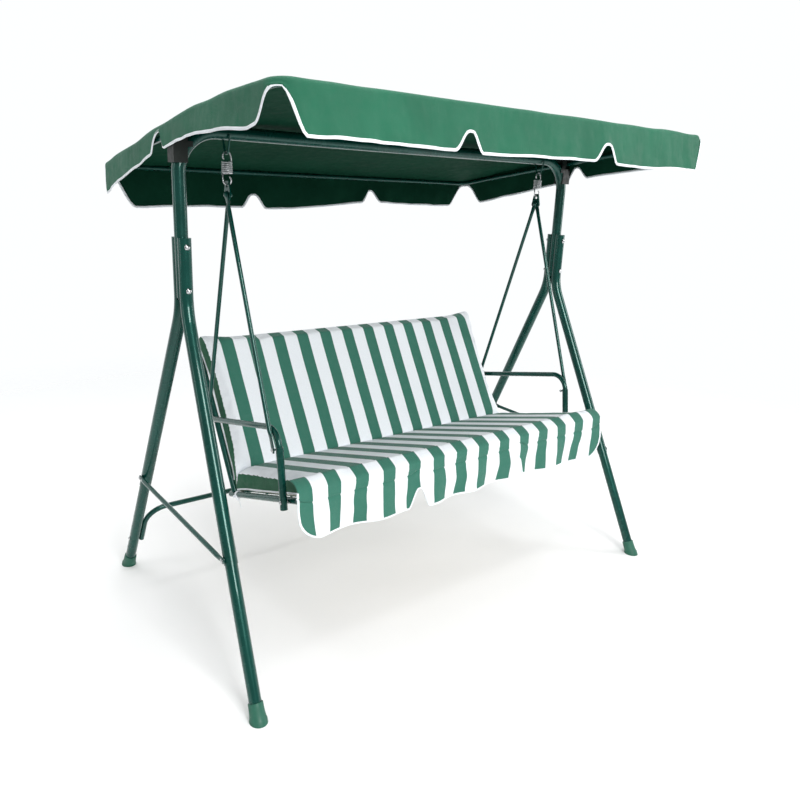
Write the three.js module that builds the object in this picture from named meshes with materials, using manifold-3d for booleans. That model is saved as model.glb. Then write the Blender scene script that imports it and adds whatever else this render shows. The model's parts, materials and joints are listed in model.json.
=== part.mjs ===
// Garden swing bench with a canopy: two A-frames, a top beam, a bench hung on two extension
// springs, and a fabric canopy that tilts on the beam.
// Millimetres, +Z up. The bench faces -Y. "Left" and "right" are as seen from the front, so
// left is -X. The origin is on the ground, under the middle of the beam.

import * as THREE from "three";
import { mergeVertices } from "three/addons/utils/BufferGeometryUtils.js";
import Module from "manifold-3d";

const wasm = await Module();
wasm.setup();

const FIT = 0.3; // gap left between pieces that touch

// ---- Driving dimensions -------------------------------------------------------------------

const LEG_TOP_X = 779; // half spacing of the A-frames at the top
const FOOT_X = 826; // half spacing of the feet across
const FOOT_Y = 503; // feet in front of and behind the beam
const LEG_TOP_Z = 1210;
const LEG_BEND_Z = 1010; // height where the legs spread
const LEG_BEND_RADIUS = 200;
const LEG_OFFSET_Y = 20; // legs of a pair stand this far in front of and behind the beam's end
const LEG_RADIUS = 19; // upper leg tube
const LOWER_LEG_RADIUS = 17; // lower leg tube, pushed into the upper one
const LEG_JOINT_Z = 374; // lower end of the upper leg
const LEG_INSERT = 60; // length of lower leg inside the upper leg
const LEG_BOLT_Z = [1186, 1068];
const LEG_BOLT_RADIUS = 4;
const LEG_ABOVE_GROUND = 12; // the lower leg ends in its cap, this far from the ground
const CAP_SOCKET = 11; // floor of the cap's socket, measured from the ground along the leg
const CAP_HEIGHT = 50;
const CAP_BELOW = 14; // the bell goes on below the ground and is cut off level with it
// Radius of the bell at heights along the leg.
const CAP_PROFILE = [
  [24.5, -CAP_BELOW],
  [24.5, 7],
  [22.5, 12],
  [21, 24],
  [20.3, CAP_HEIGHT],
];

const BEAM_RADIUS = 19;
const BEAM_Z = 1488;
const BEAM_BEND_RADIUS = 110;
const BEAM_END_Z = 1045;
const BEAM_CLEARANCE_BELOW = 6; // the groove for the beam's end goes on below that end
const BEAM_CLEARANCE_ABOVE = 10; // and above the legs' tops

const BRACE_FRONT_Z = 388; // bolts of the side braces
const BRACE_REAR_Z = 408;
const BRACE_RADIUS = 7;
const BRACE_FLAT_LENGTH = 40;
const BOLT_MARGIN = 10; // a flattened end goes on this far beyond the middle of its bolt
const CROSS_BAR_Z = 252;
const CROSS_BAR_END_Z = 118;
const CROSS_BAR_RADIUS = 9;
const CROSS_BAR_BEND_RADIUS = 70;

const SPRING_X = 640; // half spacing of the two springs
const WIRE_RADIUS = 2.4;
const COIL_RADIUS = 13.5;
const COIL_TURNS = 6.5;
const COIL_PITCH = 5.2;
const COIL_BOTTOM_Z = 1379;
const LOOP_RADIUS = 12;
const LOWER_LOOP_Z = 1364.5;
const UPPER_LOOP_Z = 1428;
const LOWER_HOOK = { start: 55, end: -165, step: -22 }; // degrees round the loop
const UPPER_HOOK = { start: 0, end: 235, step: 23.5 };
const COIL_STEPS = 12; // points in one turn of the coil
const SPRING_STEPS = 88;
const EYE_ROD_RADIUS = 3;
const EYE_BEND_RADIUS = 7;
const EYE_HALF_WIDTH = 8; // at its lowest stretch, where the spring hangs
const EYE_SPREAD = 24; // half spacing of its two ends, inside the beam

const LINK_THICKNESS = 4;
const LINK_PIN_Z = 1326;
const LINK_PIN_RADIUS = 4;
const LINK_PIN_REACH = 7.2; // from the plate's middle to the pin's head and to its nut
const LINK_HOLE_RADIUS = 6;
// Half widths of the plate, at heights above its hole and above its pin.
const LINK_ABOVE_HOLE = [
  [9, 13],
  [13, 4],
];
const LINK_ABOVE_PIN = [
  [20, -4],
  [12, -14],
];

const HANGER_RADIUS = 6.5;
const HANGER_FRONT_FLAT = 58;
const HANGER_REAR_FLAT = 48;
const HANGER_FRONT_OUT = 15.5; // hangers' lower ends, outside the arm rest's middle
const HANGER_REAR_OUT = 4.5;
const HANGER_BOLT_RADIUS = 3;
const FRONT_BOLT_SHANK = 31;
const REAR_BOLT_SHANK = 40;
const SEAT_BOLT_SHANK = 44;
const FLAT = 4; // thickness of a tube end that is pressed flat
const HANGER_FRONT = { y: -242, z: 641 }; // bolt at the arm rest's upright
const HANGER_REAR = { y: 216.8, z: 605 }; // bolt at the back post

const ARM_X = 620; // half spacing of the arm rests
const ARM_RADIUS = 9;
const ARM_CORNER = { y: -245, z: 705 };
const ARM_BEND_RADIUS = 55;
const ARM_FLAT_HALF_LENGTH = 32; // of the arm rest's rear end, which is pressed flat
const ARM_FLAT_MIDDLE = 10; // behind the rear bolt
const ARM_FLAT_Z = [540, 700];
const UPRIGHT_RADIUS = 11;
const UPRIGHT_TOP = { y: -252, z: 648 };
const UPRIGHT_BOTTOM = { y: -277, z: 468 };

const RAIL_X = 598; // half spacing of the seat side bars and back posts
const RAIL_RADIUS = 10;
const SEAT_SLOPE = THREE.MathUtils.degToRad(17.5);
const SEAT_MIDDLE = { y: -136, z: 447 }; // a point on the axis of the side bars
const SEAT_FRONT_Y = -385;
const SEAT_REAR_Y = 112;
const BACK_LEAN = THREE.MathUtils.degToRad(30.4);
const BACK_FOOT = { y: 120, z: 440 }; // a point on the axis of the back posts
const BACK_LENGTH = 436; // from that point up to the top rail
const BACK_POST_BELOW = 64; // from that point down to the post's foot
const SIDE_BAR_CLEARANCE_Y = [200, -100]; // the posts make room for the side bars between these
const SEAT_BOLT_Y = -274.5;
const WIRE_GRID_RADIUS = 2.5;
const GRID_LONG_WIRES = 9;
const GRID_CROSS_WIRES = 2;
const GRID_SIDE_GAP = 25;
const GRID_OVERHANG = 10; // the cross wires go on this far beyond the last long wires
const BACK_GRID_BELOW = 40; // foot of the back's long wires, below the posts' point

const CUSHION_HALF_WIDTH = 604;
const CREASE = { y: 50, z: 477 }; // where the seat meets the back, on the cushions' surface
const SEAT_TOP_FRONT = { y: -400, z: 594 };
const BACK_CUSHION_THICKNESS = 68;
const BACK_CUSHION_HEIGHT = 450;
const BACK_CUSHION_FOOT = -30; // its rear face ends here, below the crease
const BACK_CUSHION_TIP = { y: 25, z: -70 }; // its lowest edge, from the crease
const FRONT_CHAMFER = 14; // of a cushion's edge on the side that is sat on
const REAR_CHAMFER = 12;
const FLAP_HALF_WIDTH = 650;
const FLAP_BOTTOM_Z = 428;
const FLAP_AHEAD = 12; // the flap's front face is this far in front of the cushion's edge
const FLAP_BELOW = 18; // and its top this far below it
const FLAP_THICKNESS = 5;

const CANOPY_PIVOT_Z = 1478;
const CANOPY_TILT = THREE.MathUtils.degToRad(8.5); // the front stands higher
const CANOPY_FRONT = -565; // front bar, measured in the tilted canopy
const CANOPY_REAR = 578;
const CANOPY_ARM_X = 789;
const CANOPY_ARM_INSET = 95; // the arms turn in this far and meet the bars
const CANOPY_TUBE_RADIUS = 8;
const CANOPY_BEND_RADIUS = 45;
const CANOPY_PIN_RADIUS = 4;
const CANOPY_PIN_X = [770, 800];
const COVER_HALF_WIDTH = 805;
const COVER_OVERHANG = 11; // cover's front and rear faces beyond the bars' axes
const COVER_THICKNESS = 3;
const COVER_RIDGE = 36; // top of the cover above the pivot
const COVER_EDGE = 12; // top of the cover above the bars' axes
const FRONT_VALANCE_DROP = 100; // skirts below the bars' axes
const REAR_VALANCE_DROP = 112;
const SIDE_VALANCE_DROP = 86;
const FRONT_NOTCH = { width: 44, height: 48 };
const SIDE_NOTCH = { width: 44, height: 60 };
const SIDE_NOTCH_Y = -40;
const CORNER_SLIT = { width: 110, height: 90 };
const SIDE_TRIM_INSET = 40; // the side skirts are shortened between these distances from the bars

// The bracket fills the outer corner of the beam's bend. Its ear carries the canopy's pin, and
// the corner inside the bend is cut away.
const BRACKET_BLOCK = { x: [745, 799], halfDepth: 21, z: [1404, 1459] };
const BRACKET_EAR = { x: [757, 779.5], halfDepth: 17, z: [1450, 1496] };
const BRACKET_CORNER = { x: [600, 760], halfDepth: 60, z: [1300, 1445] };

// ---- Finishes -----------------------------------------------------------------------------

const finish = (color, roughness, metalness) =>
  new THREE.MeshStandardMaterial({ color, roughness, metalness });

const GREEN_PAINT = finish(0x0e5048, 0.3, 0.1);
const GREEN_PLASTIC = finish(0x2a6b55, 0.55, 0);
const BLACK_PLASTIC = finish(0x1b2421, 0.55, 0);
const ZINC = finish(0xb9bdc0, 0.35, 0.9);
const CANOPY_CLOTH = finish(0x2f7a5a, 0.85, 0);
const STRIPED_CLOTH = finish(0x9fc4b6, 0.9, 0);

// ---- Tools --------------------------------------------------------------------------------

const vec = (x, y, z) => new THREE.Vector3(x, y, z);

// A line through corner points. Inner corners are rounded to the bend radius.
class BentLine extends THREE.Curve {
  constructor(corners, bendRadius, arcSteps) {
    super();
    this.points = [];
    this.tangents = [];
    const last = corners.length - 1;
    this.normal = vec(0, 0, 0);
    const add = (point, tangent) => {
      this.points.push(point);
      this.tangents.push(tangent);
    };
    const direction = (i) => corners[i + 1].clone().sub(corners[i]).normalize();
    add(corners[0].clone(), direction(0));
    for (let i = 1; i < last; i++) {
      const before = direction(i - 1);
      const after = direction(i);
      const axis = before.clone().cross(after).normalize();
      const angle = before.angleTo(after);
      const start = corners[i].clone().addScaledVector(before, -bendRadius * Math.tan(angle / 2));
      const inward = axis.clone().cross(before);
      const centre = start.clone().addScaledVector(inward, bendRadius);
      for (let step = 0; step <= arcSteps; step++) {
        const turn = (angle * step) / arcSteps;
        const spoke = start.clone().sub(centre).applyAxisAngle(axis, turn);
        add(centre.clone().add(spoke), before.clone().applyAxisAngle(axis, turn));
      }
      this.normal.copy(axis);
    }
    add(corners[last].clone(), direction(last - 1));
    if (this.normal.length() === 0) {
      const side = Math.abs(this.tangents[0].z) < 0.9 ? vec(0, 0, 1) : vec(1, 0, 0);
      this.normal.copy(side.cross(this.tangents[0]).normalize());
    }
  }

  getPoint(t) {
    const at = t * (this.points.length - 1);
    const i = Math.min(Math.floor(at), this.points.length - 2);
    return this.points[i].clone().lerp(this.points[i + 1], at - i);
  }

  getSpacedPoints() {
    return this.points;
  }

  // The bends of one tube lie in one plane, so its normal serves the whole length.
  computeFrenetFrames() {
    const normals = this.points.map(() => this.normal.clone());
    const binormals = this.tangents.map((tangent) => tangent.clone().cross(this.normal));
    return { tangents: this.tangents, normals, binormals };
  }
}

function circle(radius, sides) {
  const shape = new THREE.Shape();
  for (let i = 0; i < sides; i++) {
    const angle = (2 * Math.PI * (i + 0.5)) / sides;
    shape[i ? "lineTo" : "moveTo"](radius * Math.cos(angle), radius * Math.sin(angle));
  }
  return shape;
}

function tube(corners, bendRadius, radius, sides = 12, arcSteps = 5) {
  const path = new BentLine(corners, bendRadius, arcSteps);
  const steps = path.points.length - 1;
  return new THREE.ExtrudeGeometry(circle(radius, sides), { steps, extrudePath: path });
}

// Merges the shared vertices of a closed mesh and makes a solid of it.
function solid(geometry) {
  const bare = geometry.clone();
  for (const name of Object.keys(bare.attributes)) {
    if (name !== "position") bare.deleteAttribute(name);
  }
  const merged = mergeVertices(bare, 1e-3);
  return new wasm.Manifold(
    new wasm.Mesh({
      numProp: 3,
      vertProperties: new Float32Array(merged.attributes.position.array),
      triVerts: new Uint32Array(merged.index.array),
    }),
  );
}

function geometryOf(manifold) {
  const mesh = manifold.getMesh();
  const geometry = new THREE.BufferGeometry();
  geometry.setAttribute("position", new THREE.BufferAttribute(mesh.vertProperties, 3));
  geometry.setIndex(new THREE.BufferAttribute(mesh.triVerts, 1));
  return geometry;
}

const cut = (body, ...tools) =>
  geometryOf(tools.reduce((left, tool) => left.subtract(solid(tool)), solid(body)));
const join = (...pieces) =>
  geometryOf(pieces.map(solid).reduce((whole, piece) => whole.add(piece)));

// A straight rod between two points.
function rod(from, to, radius, sides = 12) {
  return tube([from, to], 0, radius, sides);
}

function box(low, high) {
  const size = high.clone().sub(low);
  const middle = low.clone().add(high).multiplyScalar(0.5);
  return new THREE.BoxGeometry(size.x, size.y, size.z).translate(middle.x, middle.y, middle.z);
}

// A box on one side of the bench, centred on the X-Z plane.
function slab(sx, { x: [near, far], halfDepth, z: [low, high] }) {
  const x = [sx * near, sx * far].sort((a, b) => a - b);
  return box(vec(x[0], -halfDepth, low), vec(x[1], halfDepth, high));
}

const ACROSS = vec(1, 0, 0);
const BACKWARD = vec(0, 1, 0);
const DRILL_REACH = 60; // half length of a tool that cuts a hole

function drill(centre, along, radius, sides = 12) {
  const reach = along.clone().multiplyScalar(DRILL_REACH);
  return rod(centre.clone().sub(reach), centre.clone().add(reach), radius, sides);
}

// A solid of revolution around +Y, turned so that +Y points along the given direction.
function turned(profile, segments, origin, direction) {
  const points = profile.map(([radius, height]) => new THREE.Vector2(radius, height));
  const geometry = new THREE.LatheGeometry(points, segments);
  const turn = new THREE.Quaternion().setFromUnitVectors(vec(0, 1, 0), direction);
  return geometry.applyQuaternion(turn).translate(origin.x, origin.y, origin.z);
}

// A profile drawn in the Y-Z plane and carried along X from one end to the other.
function prism(outline, fromX, toX) {
  const shape = new THREE.Shape(outline.map(([y, z]) => new THREE.Vector2(y, z)));
  const geometry = new THREE.ExtrudeGeometry(shape, {
    depth: Math.abs(toX - fromX),
    bevelEnabled: false,
  });
  const basis = new THREE.Matrix4().makeBasis(vec(0, 1, 0), vec(0, 0, 1), vec(1, 0, 0));
  return geometry.applyMatrix4(basis).translate(Math.min(fromX, toX), 0, 0);
}

const FLAT_SHARE = 0.55; // of a flattened end that is fully flat; the rest widens to the tube
const FLAT_WIDENING = 1.4;

// A tube between two bolts, pressed flat at both ends so that the flats face X.
function flatEndedTube(from, to, radius, flatLength) {
  const direction = to.clone().sub(from);
  const length = direction.length();
  direction.normalize();
  const fromStart = [-BOLT_MARGIN, flatLength * FLAT_SHARE, flatLength];
  const rings = [...fromStart, ...fromStart.map((at) => length - at).reverse()];
  const profile = [[0, rings[0]], ...rings.map((at) => [radius, at]), [0, rings.at(-1)]];
  const lathe = new THREE.LatheGeometry(
    profile.map(([r, at]) => new THREE.Vector2(r, at)),
    12,
  );
  const position = lathe.attributes.position;
  for (let i = 0; i < position.count; i++) {
    const fromEnd = Math.min(position.getY(i), length - position.getY(i));
    if (fromEnd < flatLength * 0.9) {
      position.setX(i, (position.getX(i) * FLAT) / (2 * radius));
      position.setZ(i, position.getZ(i) * FLAT_WIDENING);
    }
  }
  const side = ACROSS.clone().addScaledVector(direction, -direction.x).normalize();
  const across = side.clone().cross(direction);
  lathe.applyMatrix4(new THREE.Matrix4().makeBasis(side, direction, across));
  return lathe.translate(from.x, from.y, from.z);
}

// A bolt along a direction: domed head, shank and a nut at the far end.
function bolt(head, direction, shank, radius) {
  const headHeight = radius * 1.2;
  const nut = radius * 1.6;
  const profile = [
    [0, -headHeight],
    [radius * 1.1, -headHeight * 0.85],
    [radius * 1.8, -headHeight * 0.35],
    [radius * 2, 0],
    [radius, 0],
    [radius, shank],
    [nut, shank],
    [nut, shank + headHeight],
    [0, shank + headHeight],
  ];
  return turned(profile, 8, head, direction);
}

const group = new THREE.Group();
const canopy = new THREE.Group();
canopy.position.set(0, 0, CANOPY_PIVOT_Z);
canopy.rotation.x = -CANOPY_TILT;
group.add(canopy);

function add(name, geometry, material, parent = group) {
  const mesh = new THREE.Mesh(geometry, material);
  mesh.name = name;
  parent.add(mesh);
}

const SIDES = [
  { side: "left", sx: -1 },
  { side: "right", sx: 1 },
];
const ENDS = [
  { end: "front", sy: -1 },
  { end: "rear", sy: 1 },
];

// ---- A-frames -----------------------------------------------------------------------------

// Point on the axis of a leg's sloping stretch at a given height.
function legPoint(sx, sy, z) {
  const t = (LEG_BEND_Z - z) / LEG_BEND_Z;
  const x = THREE.MathUtils.lerp(LEG_TOP_X, FOOT_X, t);
  const y = THREE.MathUtils.lerp(LEG_OFFSET_Y, FOOT_Y, t);
  return vec(sx * x, sy * y, z);
}

const beamPath = [
  vec(-LEG_TOP_X, 0, BEAM_END_Z),
  vec(-LEG_TOP_X, 0, BEAM_Z),
  vec(LEG_TOP_X, 0, BEAM_Z),
  vec(LEG_TOP_X, 0, BEAM_END_Z),
];
const BOLT_SPAN = LEG_OFFSET_Y + LEG_RADIUS; // a leg pair's surface in front of its middle
const legBoltHole = (sx, z) => drill(vec(sx * LEG_TOP_X, 0, z), BACKWARD, LEG_BOLT_RADIUS + FIT);

for (const { side, sx } of SIDES) {
  const beamEnd = rod(
    vec(sx * LEG_TOP_X, 0, BEAM_END_Z - BEAM_CLEARANCE_BELOW),
    vec(sx * LEG_TOP_X, 0, LEG_TOP_Z + BEAM_CLEARANCE_ABOVE),
    BEAM_RADIUS + 3 * FIT,
    16,
  );
  for (const { end, sy } of ENDS) {
    const top = vec(sx * LEG_TOP_X, sy * LEG_OFFSET_Y, LEG_TOP_Z);
    const bend = legPoint(sx, sy, LEG_BEND_Z);
    const joint = legPoint(sx, sy, LEG_JOINT_Z);
    const down = joint.clone().sub(bend).normalize();
    const socketTop = joint.clone().addScaledVector(down, -LEG_INSERT);
    const belowJoint = joint.clone().addScaledVector(down, LOWER_LEG_RADIUS);
    const upper = cut(
      tube([top, bend, joint], LEG_BEND_RADIUS, LEG_RADIUS),
      beamEnd,
      ...LEG_BOLT_Z.map((z) => legBoltHole(sx, z)),
      rod(socketTop, belowJoint, LOWER_LEG_RADIUS + FIT),
    );
    add(`upper_leg_${end}_${side}`, upper, GREEN_PAINT);

    const foot = legPoint(sx, sy, 0);
    const legEnd = foot.clone().addScaledVector(down, -LEG_ABOVE_GROUND);
    const legTop = socketTop.clone().addScaledVector(down, FIT + 1);
    add(`lower_leg_${end}_${side}`, rod(legTop, legEnd, LOWER_LEG_RADIUS), GREEN_PAINT);

    const bell = [[0, -CAP_BELOW], ...CAP_PROFILE, [0, CAP_HEIGHT]];
    const up = down.clone().negate();
    const socketFloor = foot.clone().addScaledVector(up, CAP_SOCKET);
    const aboveCap = foot.clone().addScaledVector(up, 1.2 * CAP_HEIGHT);
    const around = vec(2 * CAP_HEIGHT, 2 * CAP_HEIGHT, 0);
    const below = vec(0, 0, -2 * CAP_HEIGHT);
    const cap = cut(
      turned(bell, 18, foot, up),
      rod(socketFloor, aboveCap, LOWER_LEG_RADIUS + FIT),
      box(foot.clone().sub(around).add(below), foot.clone().add(around)),
    );
    add(`foot_cap_${end}_${side}`, cap, GREEN_PLASTIC);
  }

  LEG_BOLT_Z.forEach((z, i) => {
    const head = vec(sx * LEG_TOP_X, -BOLT_SPAN - FIT, z);
    const shank = 2 * (BOLT_SPAN + FIT);
    const name = `leg_bolt_${i ? "lower" : "upper"}_${side}`;
    add(name, bolt(head, BACKWARD, shank, LEG_BOLT_RADIUS), ZINC);
  });

  const outside = vec(sx * (LEG_RADIUS + FLAT / 2 + 1), 0, 0);
  const braceFront = legPoint(sx, -1, BRACE_FRONT_Z).add(outside);
  const braceRear = legPoint(sx, 1, BRACE_REAR_Z).add(outside);
  const brace = flatEndedTube(braceFront, braceRear, BRACE_RADIUS, BRACE_FLAT_LENGTH);
  add(`side_brace_${side}`, brace, GREEN_PAINT);
}

const crossBarInset = LOWER_LEG_RADIUS + CROSS_BAR_RADIUS + 1;
const crossBarPoint = (sx, z) => legPoint(sx, 1, z).add(vec(-sx * crossBarInset, 0, 0));
const crossBar = tube(
  [
    crossBarPoint(-1, CROSS_BAR_END_Z),
    crossBarPoint(-1, CROSS_BAR_Z),
    crossBarPoint(1, CROSS_BAR_Z),
    crossBarPoint(1, CROSS_BAR_END_Z),
  ],
  CROSS_BAR_BEND_RADIUS,
  CROSS_BAR_RADIUS,
);
add("rear_cross_bar", crossBar, GREEN_PAINT);

// ---- Beam, spring eyes and canopy brackets ------------------------------------------------

const beam = cut(
  tube(beamPath, BEAM_BEND_RADIUS, BEAM_RADIUS, 16, 8),
  ...SIDES.flatMap(({ sx }) => LEG_BOLT_Z.map((z) => legBoltHole(sx, z))),
);
add("top_beam", beam, GREEN_PAINT);

const beamClearance = tube(beamPath, BEAM_BEND_RADIUS, BEAM_RADIUS + FIT, 16, 8);
const EYE_Z = UPPER_LOOP_Z + LOOP_RADIUS - WIRE_RADIUS - EYE_ROD_RADIUS - FIT;

for (const { side, sx } of SIDES) {
  const eyePath = [
    vec(sx * SPRING_X, -EYE_SPREAD, BEAM_Z - 4),
    vec(sx * SPRING_X, -EYE_HALF_WIDTH, EYE_Z),
    vec(sx * SPRING_X, EYE_HALF_WIDTH, EYE_Z),
    vec(sx * SPRING_X, EYE_SPREAD, BEAM_Z - 4),
  ];
  const eye = cut(tube(eyePath, EYE_BEND_RADIUS, EYE_ROD_RADIUS, 8, 3), beamClearance);
  add(`spring_eye_${side}`, eye, GREEN_PAINT);

  const [pinStart, pinEnd] = CANOPY_PIN_X.map((x) => vec(sx * x, 0, CANOPY_PIVOT_Z));
  const pin = rod(pinStart, pinEnd, CANOPY_PIN_RADIUS);
  const whole = join(slab(sx, BRACKET_BLOCK), slab(sx, BRACKET_EAR), pin);
  const bracket = cut(whole, beamClearance, slab(sx, BRACKET_CORNER));
  add(`canopy_bracket_${side}`, bracket, BLACK_PLASTIC);
}

// Points on the axes of the seat's side bars and of the back posts.
const seatPoint = (x, y) =>
  vec(x, y, SEAT_MIDDLE.z - Math.tan(SEAT_SLOPE) * (y - SEAT_MIDDLE.y));
const backPoint = (x, up) =>
  vec(x, BACK_FOOT.y + Math.sin(BACK_LEAN) * up, BACK_FOOT.z + Math.cos(BACK_LEAN) * up);
const SEAT_BOLT = { y: SEAT_BOLT_Y, z: seatPoint(0, SEAT_BOLT_Y).z };

// ---- Springs, links and hangers -----------------------------------------------------------

// An extension spring around the Z axis: an open loop at each end and close coils between.
function springPath() {
  const hook = ({ start, end, step }, middleZ) => {
    const count = Math.round((end - start) / step);
    return Array.from({ length: count + 1 }, (_, i) => {
      const angle = THREE.MathUtils.degToRad(start + step * i);
      return vec(LOOP_RADIUS * Math.cos(angle), 0, middleZ + LOOP_RADIUS * Math.sin(angle));
    });
  };
  const coil = Array.from({ length: COIL_TURNS * COIL_STEPS + 1 }, (_, i) => {
    const angle = Math.PI - (2 * Math.PI * i) / COIL_STEPS;
    const z = COIL_BOTTOM_Z + WIRE_RADIUS + (COIL_PITCH * i) / COIL_STEPS;
    return vec(COIL_RADIUS * Math.cos(angle), COIL_RADIUS * Math.sin(angle), z);
  });
  const points = [...hook(LOWER_HOOK, LOWER_LOOP_Z), ...coil, ...hook(UPPER_HOOK, UPPER_LOOP_Z)];
  return new THREE.CatmullRomCurve3(points, false, "centripetal");
}

for (const { side, sx } of SIDES) {
  const spring = new THREE.ExtrudeGeometry(circle(WIRE_RADIUS, 6), {
    steps: SPRING_STEPS,
    extrudePath: springPath(),
  });
  add(`spring_${side}`, spring.translate(sx * SPRING_X, 0, 0), ZINC);

  // Link plate: the spring's lower loop passes its hole, and both hangers turn on its pin.
  const halfPlate = LINK_THICKNESS / 2;
  const holeZ = LOWER_LOOP_Z - LOOP_RADIUS + WIRE_RADIUS + 3 * FIT - LINK_HOLE_RADIUS;
  const edge = [
    ...LINK_ABOVE_HOLE.map(([y, z]) => [y, holeZ + z]),
    ...LINK_ABOVE_PIN.map(([y, z]) => [y, LINK_PIN_Z + z]),
  ];
  const outline = [...edge.map(([y, z]) => [-y, z]), ...edge.reverse()];
  const plate = prism(outline, sx * SPRING_X - halfPlate, sx * SPRING_X + halfPlate);
  const hole = drill(vec(sx * SPRING_X, 0, holeZ), ACROSS, LINK_HOLE_RADIUS, 16);
  const pinHead = vec(sx * SPRING_X - LINK_PIN_REACH, 0, LINK_PIN_Z);
  const linkPin = bolt(pinHead, ACROSS, 2 * LINK_PIN_REACH, LINK_PIN_RADIUS);
  add(`hanger_link_${side}`, join(cut(plate, hole), linkPin), GREEN_PAINT);

  const pinHole = drill(vec(sx * SPRING_X, 0, LINK_PIN_Z), ACROSS, LINK_PIN_RADIUS + FIT);
  const lift = halfPlate + FIT + FLAT / 2;
  const onSide = (x, { y, z }) => vec(sx * x, y, z);
  const frontTop = vec(sx * (SPRING_X + lift), 0, LINK_PIN_Z);
  const frontBottom = onSide(ARM_X + HANGER_FRONT_OUT, HANGER_FRONT);
  const rearTop = vec(sx * (SPRING_X - lift), 0, LINK_PIN_Z);
  const rearBottom = onSide(ARM_X + HANGER_REAR_OUT, HANGER_REAR);
  const boltHole = (place) => drill(onSide(ARM_X, place), ACROSS, HANGER_BOLT_RADIUS + FIT);
  const frontHanger = flatEndedTube(frontTop, frontBottom, HANGER_RADIUS, HANGER_FRONT_FLAT);
  const rearHanger = flatEndedTube(rearTop, rearBottom, HANGER_RADIUS, HANGER_REAR_FLAT);
  add(`hanger_front_${side}`, cut(frontHanger, pinHole, boltHole(HANGER_FRONT)), GREEN_PAINT);
  add(`hanger_rear_${side}`, cut(rearHanger, pinHole, boltHole(HANGER_REAR)), GREEN_PAINT);

  // ---- Arm rest and upright ----
  const rearBolt = onSide(ARM_X, HANGER_REAR);
  const armCorner = onSide(ARM_X, ARM_CORNER);
  const alongArm = rearBolt.clone().sub(armCorner).normalize();
  const armPath = [
    rearBolt.clone().addScaledVector(alongArm, ARM_RADIUS + 1),
    armCorner,
    onSide(ARM_X, UPRIGHT_TOP).add(vec(0, 0, FIT)),
  ];
  const armTube = tube(armPath, ARM_BEND_RADIUS, ARM_RADIUS, 14, 8);
  const flats = [
    [ARM_X + FLAT / 2, ARM_X + 3 * ARM_RADIUS],
    [ARM_X - 3 * ARM_RADIUS, ARM_X - FLAT / 2],
  ].map((x) => {
    const beside = slab(sx, { x, halfDepth: ARM_FLAT_HALF_LENGTH, z: ARM_FLAT_Z });
    return beside.translate(0, HANGER_REAR.y + ARM_FLAT_MIDDLE, 0);
  });
  add(`arm_rest_${side}`, cut(armTube, ...flats, boltHole(HANGER_REAR)), GREEN_PAINT);

  const upright = cut(
    rod(onSide(ARM_X, UPRIGHT_TOP), onSide(ARM_X, UPRIGHT_BOTTOM), UPRIGHT_RADIUS, 14),
    boltHole(HANGER_FRONT),
    boltHole(SEAT_BOLT),
  );
  add(`arm_upright_${side}`, upright, GREEN_PAINT);

  // ---- Seat side bar and back post ----
  const railX = sx * RAIL_X;
  const sideBar = rod(
    seatPoint(railX, SEAT_REAR_Y),
    seatPoint(railX, SEAT_FRONT_Y),
    RAIL_RADIUS,
    14,
  );
  add(`seat_side_bar_${side}`, cut(sideBar, boltHole(SEAT_BOLT)), GREEN_PAINT);

  const [clearanceRear, clearanceFront] = SIDE_BAR_CLEARANCE_Y.map((y) => seatPoint(railX, y));
  const post = cut(
    rod(backPoint(railX, -BACK_POST_BELOW), backPoint(railX, BACK_LENGTH), RAIL_RADIUS, 14),
    rod(clearanceRear, clearanceFront, RAIL_RADIUS + FIT, 20),
    boltHole(HANGER_REAR),
  );
  add(`back_post_${side}`, post, GREEN_PAINT);
}

// ---- Seat and back frame ------------------------------------------------------------------

const railInside = RAIL_X - RAIL_RADIUS - FIT;
const acrossAt = (point) => [vec(-railInside, point.y, point.z), vec(railInside, point.y, point.z)];
const seatFront = acrossAt(seatPoint(0, SEAT_FRONT_Y + RAIL_RADIUS));
const seatRear = acrossAt(seatPoint(0, SEAT_REAR_Y - RAIL_RADIUS));
const backTop = acrossAt(backPoint(0, BACK_LENGTH - RAIL_RADIUS));
add("seat_front_rail", rod(...seatFront, RAIL_RADIUS, 14), GREEN_PAINT);
add("seat_rear_rail", rod(...seatRear, RAIL_RADIUS, 14), GREEN_PAINT);
add("back_top_rail", rod(...backTop, RAIL_RADIUS, 14), GREEN_PAINT);

// A welded wire grid between two rails. The long wires run from rail to rail.
function wireGrid(fromRail, toRail) {
  const along = toRail.clone().sub(fromRail).normalize();
  const start = fromRail.clone().addScaledVector(along, RAIL_RADIUS + FIT);
  const stop = toRail.clone().addScaledVector(along, -RAIL_RADIUS - FIT);
  const reach = railInside - GRID_SIDE_GAP;
  const outerWire = reach - GRID_OVERHANG;
  const wires = [];
  for (let i = 0; i < GRID_LONG_WIRES; i++) {
    const x = THREE.MathUtils.lerp(-outerWire, outerWire, i / (GRID_LONG_WIRES - 1));
    wires.push(rod(start.clone().setX(x), stop.clone().setX(x), WIRE_GRID_RADIUS, 4));
  }
  for (let i = 1; i <= GRID_CROSS_WIRES; i++) {
    const at = start.clone().lerp(stop, i / (GRID_CROSS_WIRES + 1));
    wires.push(rod(at.clone().setX(-reach), at.clone().setX(reach), WIRE_GRID_RADIUS, 4));
  }
  return join(...wires);
}

const axisOf = ([left]) => left.clone().setX(0);
add("seat_wire_grid", wireGrid(axisOf(seatRear), axisOf(seatFront)), GREEN_PAINT);
const backFoot = backPoint(0, -BACK_GRID_BELOW);
add("back_wire_grid", wireGrid(backFoot, axisOf(backTop)), GREEN_PAINT);

// ---- Cushions -----------------------------------------------------------------------------

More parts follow.
